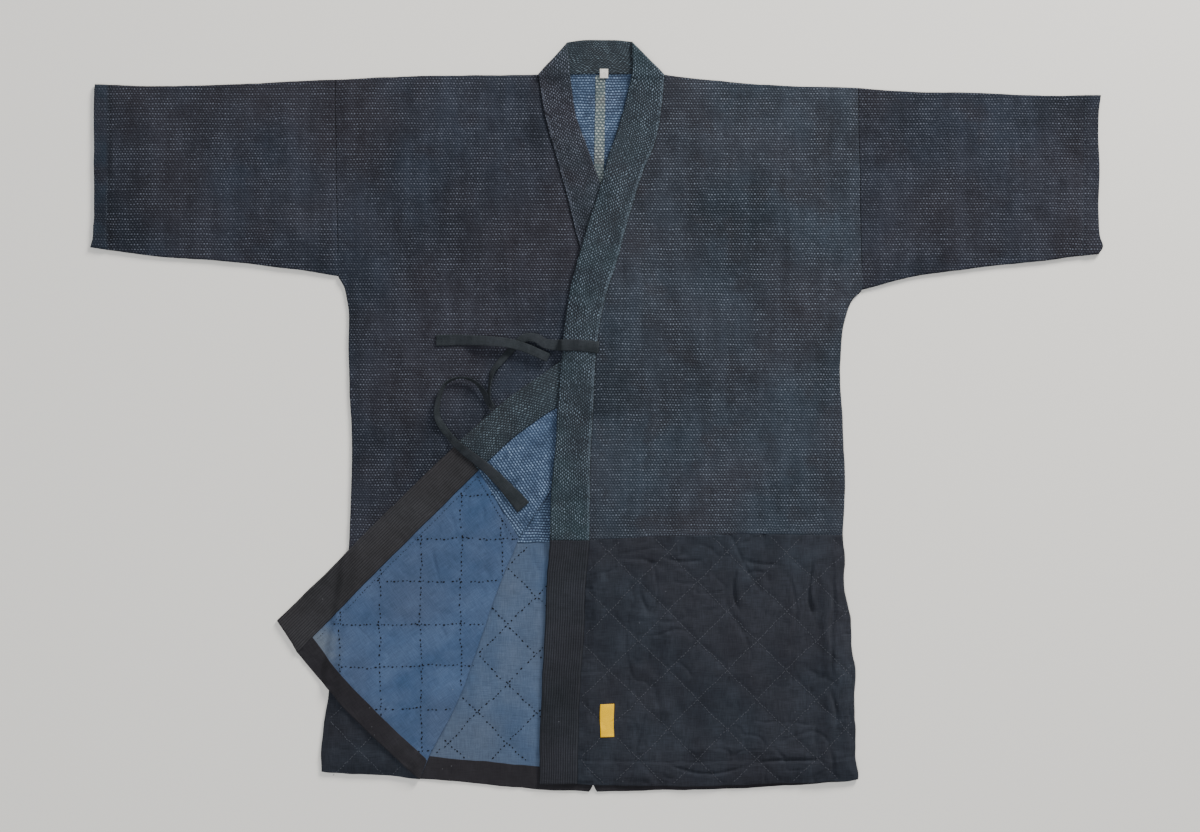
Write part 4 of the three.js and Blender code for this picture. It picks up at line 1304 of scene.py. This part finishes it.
def skirt_front_left():
    """Quilted panel with a plain block of satin stitch, whose threads are low ridges across it."""
    front = Patch(FRONT_HEM_LEFT, WAIST_LEFT, LOWER_LEFT_SEAM[::-1], SKIRT_SIDE_LEFT, 1.8)
    hem_side = [(-60, 900), (-60, -476.5)] + FRONT_HEM_LEFT + [(380, -475), (380, 900)]
    relief = skirt_relief(QUILT_CENTRE_FRONT, hem_side)
    top = on_top(left_rest, SKIRT, relief)
    outline = FRONT_HEM_LEFT + SKIRT_SIDE_LEFT[1:] + WAIST_LEFT[::-1][1:] + LOWER_LEFT_SEAM[1:-1]
    quilting = within(running(diamond_lines(QUILT_CENTRE_FRONT), QUILT_PITCH, 121), outline, 4)
    quilting = outside(quilting, BLOCK_OUTLINE, 2)
    low_left, low_right, high_right, high_left = BLOCK_OUTLINE
    block = between([low_left, high_left], [low_right, high_right], 1.5, 0.3)
    block_bottom = top(block.x, block.y) - SUNK
    threads = 0.14 * np.abs(np.sin(math.pi * block.y / 0.95)) + 0.02 * noise(block.x, block.y, 1.2, 7)
    block_top = block_bottom + SUNK + BLOCK_RISE + threads
    return build("left_front_skirt", [
        layer(front, left_rest, SKIRT, relief, {"right": floor_height}, ("low",), ("high", "left")),
        stitches(quilting, on_top(top, 0, None, 0.15), QUILT_STITCH, 2),
        wall(block, block_bottom, block_top, ALL_SIDES, uv=crosswise, faces=(3, 3)),
    ], [SKIRT_OUTER, SKIRT_INNER, PALE_THREAD, YELLOW_THREAD])


def skirt_front_right():
    """The part that lies flat, and on it the part that is turned back with its hem facing."""
    under_hem = [(-358, -462), (-290, -466), (-229, -471)]
    under = Patch(under_hem, WAIST_RIGHT, SKIRT_SIDE_RIGHT, FOLD_SKIRT[::-1], 3.2)
    hem_side = [(-400, 900), (-400, -460)] + under_hem + [(0, -480), (0, 900)]
    under_relief = skirt_relief(QUILT_CENTRE_UNDER, hem_side, 0.6, 0.2)
    turned = Patch(FOLD_SKIRT, TURNED_LOWER_SEAM, [(-100, -158), (-153, -70)], TURNED_HEM[::-1], 2.4)
    small, thin, finer = puckers(0.8, 71), wrinkles(1.5, 28, 75, 1.6), wrinkles(1.0, 19, 79)

    def turned_relief(x, y):
        pillow = squares(x, y)
        uneven = (small(x, y) + thin(x, y) + finer(x, y)) * (0.35 + 0.65 * pillow)
        to_band = signed_distance(TURNED_BAND_OUTLINE, x, y)
        groove = np.exp(-(((to_band - SEAM_ALLOWANCE - 0.5) / 1.6) ** 2))
        allowance = 0.5 * step_up((SEAM_ALLOWANCE - to_band) / 2) - 0.5 * groove
        return np.maximum(0.4 + 0.9 * pillow + uneven + allowance, -0.5)

    def turned_top(x, y):
        return turned_rest(x, y) + SKIRT + turned_relief(x, y)

    inner_edge = [(-219, -446), (-275, -392), (-327, -339), (-369, -287)]
    hem = Patch(
        TURNED_HEM[::-1], inner_edge, [(-229, -471), (-219, -446)], [(-389, -308), (-369, -287)], 2.4,
    )
    hem_bottom = turned_top(hem.x, hem.y) - SUNK
    hem_wall = wall(
        hem, hem_bottom, hem_bottom + SUNK + HEM_LAYER, ("high",), ("right",),
        {"low": turned_rest(hem.x, hem.y), "left": right_rest(hem.x, hem.y)}, mirrored_in_fold, (2, 2),
    )
    shown = FOLD_SKIRT + inner_edge[1:] + TURNED_LOWER_SEAM[::-1]
    quilting = within(running(square_lines(), DOT_PITCH, 131, 0.6), shown, 1.5)
    seam_row = within(beside(TURNED_LOWER_SEAM, SEAM_ALLOWANCE, DARK_SEAM_PITCH, 137), shown, 1)
    waist = [(-153, -70), (-100, -158)]
    waist_row = within(beside(waist, -SEAM_ALLOWANCE, DARK_SEAM_PITCH, 137), shown, 1)
    seam_rows = np.concatenate([seam_row, waist_row])
    corner = [(-345, -470), (-229, -471), (-285, -420), (-349, -354)]
    under_quilting = within(running(diamond_lines(QUILT_CENTRE_UNDER), QUILT_PITCH, 139), corner, 3)
    return build("right_front_skirt", [
        layer(under, right_rest, SKIRT, under_relief, {"left": floor_height}, ("low", "right"), ("high",)),
        *dotted(quilting, turned_top, 3),
        stitches(seam_rows, on_top(turned_top, 0, None, 0.2), DARK_SEAM_STITCH, 3),
        stitches(under_quilting, on_top(right_rest, SKIRT, under_relief), UNDER_QUILT_STITCH, 4),
        layer(turned, turned_rest, SKIRT, turned_relief, {"low": right_rest}, ("right",), ("high", "left"),
              mirrored_in_fold, (1, 0)),
        hem_wall,
    ], [SKIRT_OUTER, SKIRT_INNER, HEM_INNER, DARK_THREAD, PALE_THREAD])


def skirt_back(name, low, high, left, right, side, step):
    """Quilted panel with a hem facing, cut at its side and open at the vent up the middle of the back."""
    patch = Patch(low, high, left, right, step)
    pillow = diamonds(QUILT_CENTRE_BACK)
    small, thin = puckers(0.4, 81), wrinkles(0.8, 30, 83, 1.8)

    def relief(x, y):
        return 0.7 * pillow(x, y) + (small(x, y) + thin(x, y)) * (0.5 + 0.5 * pillow(x, y))

    centre = "right" if side == "left" else "left"
    if centre == "left":
        hem_left, hem_right = VENT_LEFT[:3] + [(-3.9, -458)], [low[-1], (low[-1][0], -444)]
    else:
        hem_left, hem_right = [low[0], (low[0][0], -432)], VENT_RIGHT[:3] + [(-3.9, -458)]
    inner = [hem_left[-1]] + moved(low[1:-1], 0, 30) + [hem_right[-1]]
    hem = Patch(low, inner, hem_left, hem_right, step)
    hem_bottom = SKIRT + relief(hem.x, hem.y) - SUNK
    hem_top = hem_bottom + SUNK + HEM_LAYER
    outline = low + right[1:] + high[::-1][1:] + left[::-1][1:-1]
    quilting = within(running(diamond_lines(QUILT_CENTRE_BACK), DOT_PITCH, 141, 0.6), outline, 4)
    quilting = outside(within(quilting, moved(outline, 0, 32), 1), FRONT_LEFT_OUTLINE, 0)
    quilting = outside(quilting, TURNED_OUTLINE, 0)
    dots = dotted(quilting, on_top(floor_height, SKIRT, relief), 3)
    fold = {"low": floor_height(hem.x, hem.y)}
    return build(name, dots + [
        layer(patch, floor_height, SKIRT, relief, None, ("low", side), ("high", centre), faces=(1, 0)),
        wall(hem, hem_bottom, hem_top, ("high", side), (centre,), fold, faces=(2, 2)),
    ], [SKIRT_OUTER, BACK_INNER, HEM_INNER, DARK_THREAD])


def skirt_back_right():
    low = moved(BACK_HEM_RIGHT[:1], 2.5) + BACK_HEM_RIGHT[1:]
    high, side = [(-319.5, -172), (-1, -162)], moved(SKIRT_SIDE_RIGHT, 2.5)
    return skirt_back("right_back_skirt", low, high, side, VENT_RIGHT, "left", 2.8)


def skirt_back_left():
    low = BACK_HEM_LEFT[:-1] + moved(BACK_HEM_LEFT[-1:], -2.5)
    high, side = [(-1, -162), (317.5, -155)], moved(SKIRT_SIDE_LEFT, -2.5)
    return skirt_back("left_back_skirt", low, high, VENT_LEFT, side, "right", 7)


def crown(patch):
    """Rise of a padded band towards its middle."""
    return 0.9 * np.sin(np.pi * np.clip(patch.u, 0, 1)) ** 0.7


def band(patch, rest, fold, cut, seam, line, faces=(0, 1)):
    """Padded band whose cloth follows a line along its seam."""
    return layer(patch, rest, BAND, lambda x, y: crown(patch), fold, cut, seam, following(line), faces)


def collar():
    """One strip in four parts: round the neck, both lapels, and the lapel that is turned back."""
    neck = Patch(
        [(-76, 443), (5, 444), (88, 443)], NECK_TOP, [(-76, 443), NECK_TOP[0]], [(88, 443), NECK_TOP[-1]],
        2.2,
    )
    left = between(LAPEL_LEFT_FREE[::-1], LAPEL_LEFT_SEAM[::-1], 1.8, 3)
    right = between(LAPEL_RIGHT_SEAM[::-1], LAPEL_RIGHT_FREE[::-1], 1.8, 3)
    turned = between(TURNED_SEAM, TURNED_FREE, 1.8, 3)
    sides = ("left", "right")
    left_line = LOWER_LEFT_SEAM[:0:-1] + LAPEL_LEFT_SEAM[::-1]
    neck_fold = {"high": floor_height}
    return build("collar_band", [
        layer(neck, floor_height, BAND, None, None, ("high",), ("low",), crosswise, (1, 0)),
        band(left, left_rest, neck_fold, sides, ("low",), left_line),
        band(right, right_rest, neck_fold, sides + ("low",), (), LAPEL_RIGHT_SEAM[::-1], (2, 2)),
        band(turned, turned_rest, {"low": right_rest}, sides, ("high",), TURNED_SEAM, (1, 0)),
    ], [COLLAR_OUTER, COLLAR_TURNED, COLLAR_RIGHT])


def lower_band(name, left, right, rest, seam, faces=(0, 1)):
    """Band with lengthwise rows of machine stitching, as shallow troughs between soft ridges."""
    patch = between(left, right, 0.8, 4)

    def ridges(x, y):
        across = patch.u * patch.across
        return 0.5 * np.abs(np.sin(np.pi * across / ROW_PITCH)) + 0.5 * crown(patch)

    return build(name, [
        layer(patch, rest, BAND, ridges, None, ("left", "right", "low"), ("high",), following(seam), faces),
    ], [BAND_OUTER, BAND_INNER])


def collar_lower_left():
    seam = LOWER_LEFT_SEAM[::-1]
    return lower_band("left_lower_band", LOWER_LEFT_FREE[::-1], seam, left_rest, seam)


def collar_lower_right():
    seam = TURNED_LOWER_SEAM[::-1]
    return lower_band("right_lower_band", seam, TURNED_LOWER_FREE[::-1], turned_rest, seam, (1, 0))


# Ties: places along each tape, from its sewn end to its free end

TIE_RIGHT = [
    # x, y, width, tilt in degrees, lift
    (-208, 98, 14, 0, 0), (-188, 98.5, 14, 0, 0), (-169, 98.5, 14, 0, 0), (-160, 98, 13.5, -6, 2.2),
    (-140, 97, 13, -12, 4.8), (-112, 94, 12.5, -14, 5.6), (-88, 87, 12, -10, 5.4), (-62, 75.5, 11.5, -8, 4.4),
]
TIE_LEFT = [
    (3, 88, 15, 0, 0), (-12, 90, 15, 0, 0), (-30, 91.5, 15, 0, 0), (-50, 92, 14, 5, 1.2),
    (-66, 94, 13, 10, 2.4), (-78, 101, 12, 12, 1.4), (-92, 101.5, 11, 6, 0.4), (-103, 94, 10, 4, 0.3),
    (-112, 84, 9, 10, 0.4),
    (-124, 71, 9, 20, 0.6), (-133.5, 59, 8, 40, 1.0), (-138.5, 39, 7, 62, 1.0), (-138.5, 19, 8, 50, 0.8),
    (-134, 9.5, 8, 20, 0.4), (-141, 20, 9, -20, 1.2), (-146, 31, 9, -35, 1.4), (-156, 43, 8, -55, 1.6),
    (-176, 49.5, 6, -72, 1.6), (-194, 43, 7, -60, 1.6), (-203.5, 25, 8, -48, 1.4), (-206, -1, 9, -35, 1.2),
    (-190, -26, 10, 20, 0.8), (-168, -47, 12, 10, 0.4), (-142, -67, 13, 4, 0.6), (-118, -91, 16, 0, 0.3),
    (-94, -118, 20, 0, 0),
]
TAPE_SECTION = [
    (-1, 0), (-0.94, 0.75), (-0.8, 1), (0, 1.15), (0.8, 1), (0.94, 0.75), (1, 0), (0.94, -0.75), (0.8, -1),
    (0, -1), (-0.8, -1), (-0.94, -0.75),
]


def tape(name, rows):
    """Flat tape carried along a path: its section is turned by the tilt and rests on what lies below."""
    table = np.array(rows, float)
    corners = table[:, :2]
    at = np.linspace(0, 1, max(8, round(chord(corners) / 2.0)))
    path = smooth(corners, at)
    knots = np.concatenate([[0], np.cumsum(np.linalg.norm(np.diff(corners, axis=0), axis=1))])
    width, tilt, lift = (np.interp(at, knots / knots[-1], table[:, column]) for column in (2, 3, 4))
    tilt = np.radians(tilt)
    forward = np.gradient(path, axis=0)
    forward /= np.linalg.norm(forward, axis=1)[:, None]
    side = np.stack([-forward[:, 1], forward[:, 0]], axis=1)
    section = np.array(TAPE_SECTION)
    across = section[None, :, 0] * width[:, None] / 2
    rise = section[None, :, 1] * TAPE / 2
    level = across * np.cos(tilt)[:, None] - rise * np.sin(tilt)[:, None]
    upright = across * np.sin(tilt)[:, None] + rise * np.cos(tilt)[:, None]
    base = over_left(path[:, 0], path[:, 1]) + lift + TAPE / 2 + 0.5 * width * np.abs(np.sin(tilt))
    plan = path[:, None, :] + side[:, None, :] * level[..., None]
    points = np.concatenate([plan, (base[:, None] + upright)[..., None]], axis=2)
    rings, around = points.shape[:2]
    index = np.arange(rings * around).reshape(rings, around)
    onward = np.roll(index, -1, axis=1)
    quads = np.stack([index[:-1], onward[:-1], onward[1:], index[1:]], axis=-1).reshape(-1, 4)
    along = np.broadcast_to((at * chord(corners))[:, None], (rings, around))
    uv = np.stack([along, across], axis=-1).reshape(-1, 2)
    ends = [index[0, ::-1].tolist(), index[-1].tolist()]
    mesh = cloth_mesh(name, points.reshape(-1, 3), quads.tolist() + ends, uv, [TAPE_CLOTH])
    work = bmesh.new()
    work.from_mesh(mesh)
    bmesh.ops.recalc_face_normals(work, faces=work.faces)
    work.to_mesh(mesh)
    work.free()
    return smooth_piece(name, mesh)


def neck_tab():
    patch = between([(4, 438), (4, 450)], [(15, 438), (15, 450)], 1)
    rest = np.full(patch.x.shape, BAND + 0.3)
    return build("neck_tab_cloth", [wall(patch, rest, rest + 0.7, ALL_SIDES, uv=crosswise)], [TAB_CLOTH])


CUTS = [
    # how the piece is made, node that it replaces, material slot, cut in metres, how it is held
    (body_left, "body_left", "sashiko", (0.36, 1.22), "folded"),
    (body_right, "body_right", "sashiko", (0.36, 1.22), "folded"),
    (lambda: sleeve("right_sleeve_cloth", SLEEVE_RIGHT), "sleeve_right", "sashiko", (0.32, 0.48), "folded"),
    (lambda: sleeve("left_sleeve_cloth", SLEEVE_LEFT), "sleeve_left", "sashiko", (0.32, 0.48), "folded"),
    (skirt_back_right, "skirt_back_right", "quilted", (0.35, 0.34), "laid"),
    (skirt_back_left, "skirt_back_left", "quilted", (0.35, 0.34), "laid"),
    (skirt_front_right, "skirt_front_right", "quilted", (0.35, 0.4), "folded"),
    (skirt_front_left, "skirt_front_left", "quilted", (0.36, 0.33), "laid"),
    (collar, "collar", "sashiko", (0.055, 1.4), "folded"),
    (collar_lower_left, "collar_lower_left", "lower_band", (0.052, 0.32), "laid"),
    (collar_lower_right, "collar_lower_right", "lower_band", (0.052, 0.34), "laid"),
    (lambda: tape("right_tie_tape", TIE_RIGHT), "tie_right", "tape", (0.014, 0.15), "laid"),
    (lambda: tape("left_tie_tape", TIE_LEFT), "tie_left", "tape", (0.013, 0.5), "laid"),
    (neck_tab, "neck_tab", "tab", (0.011, 0.012), "laid"),
]

for make, node, slot, cut_size, held in CUTS:
    piece = make()
    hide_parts(node)
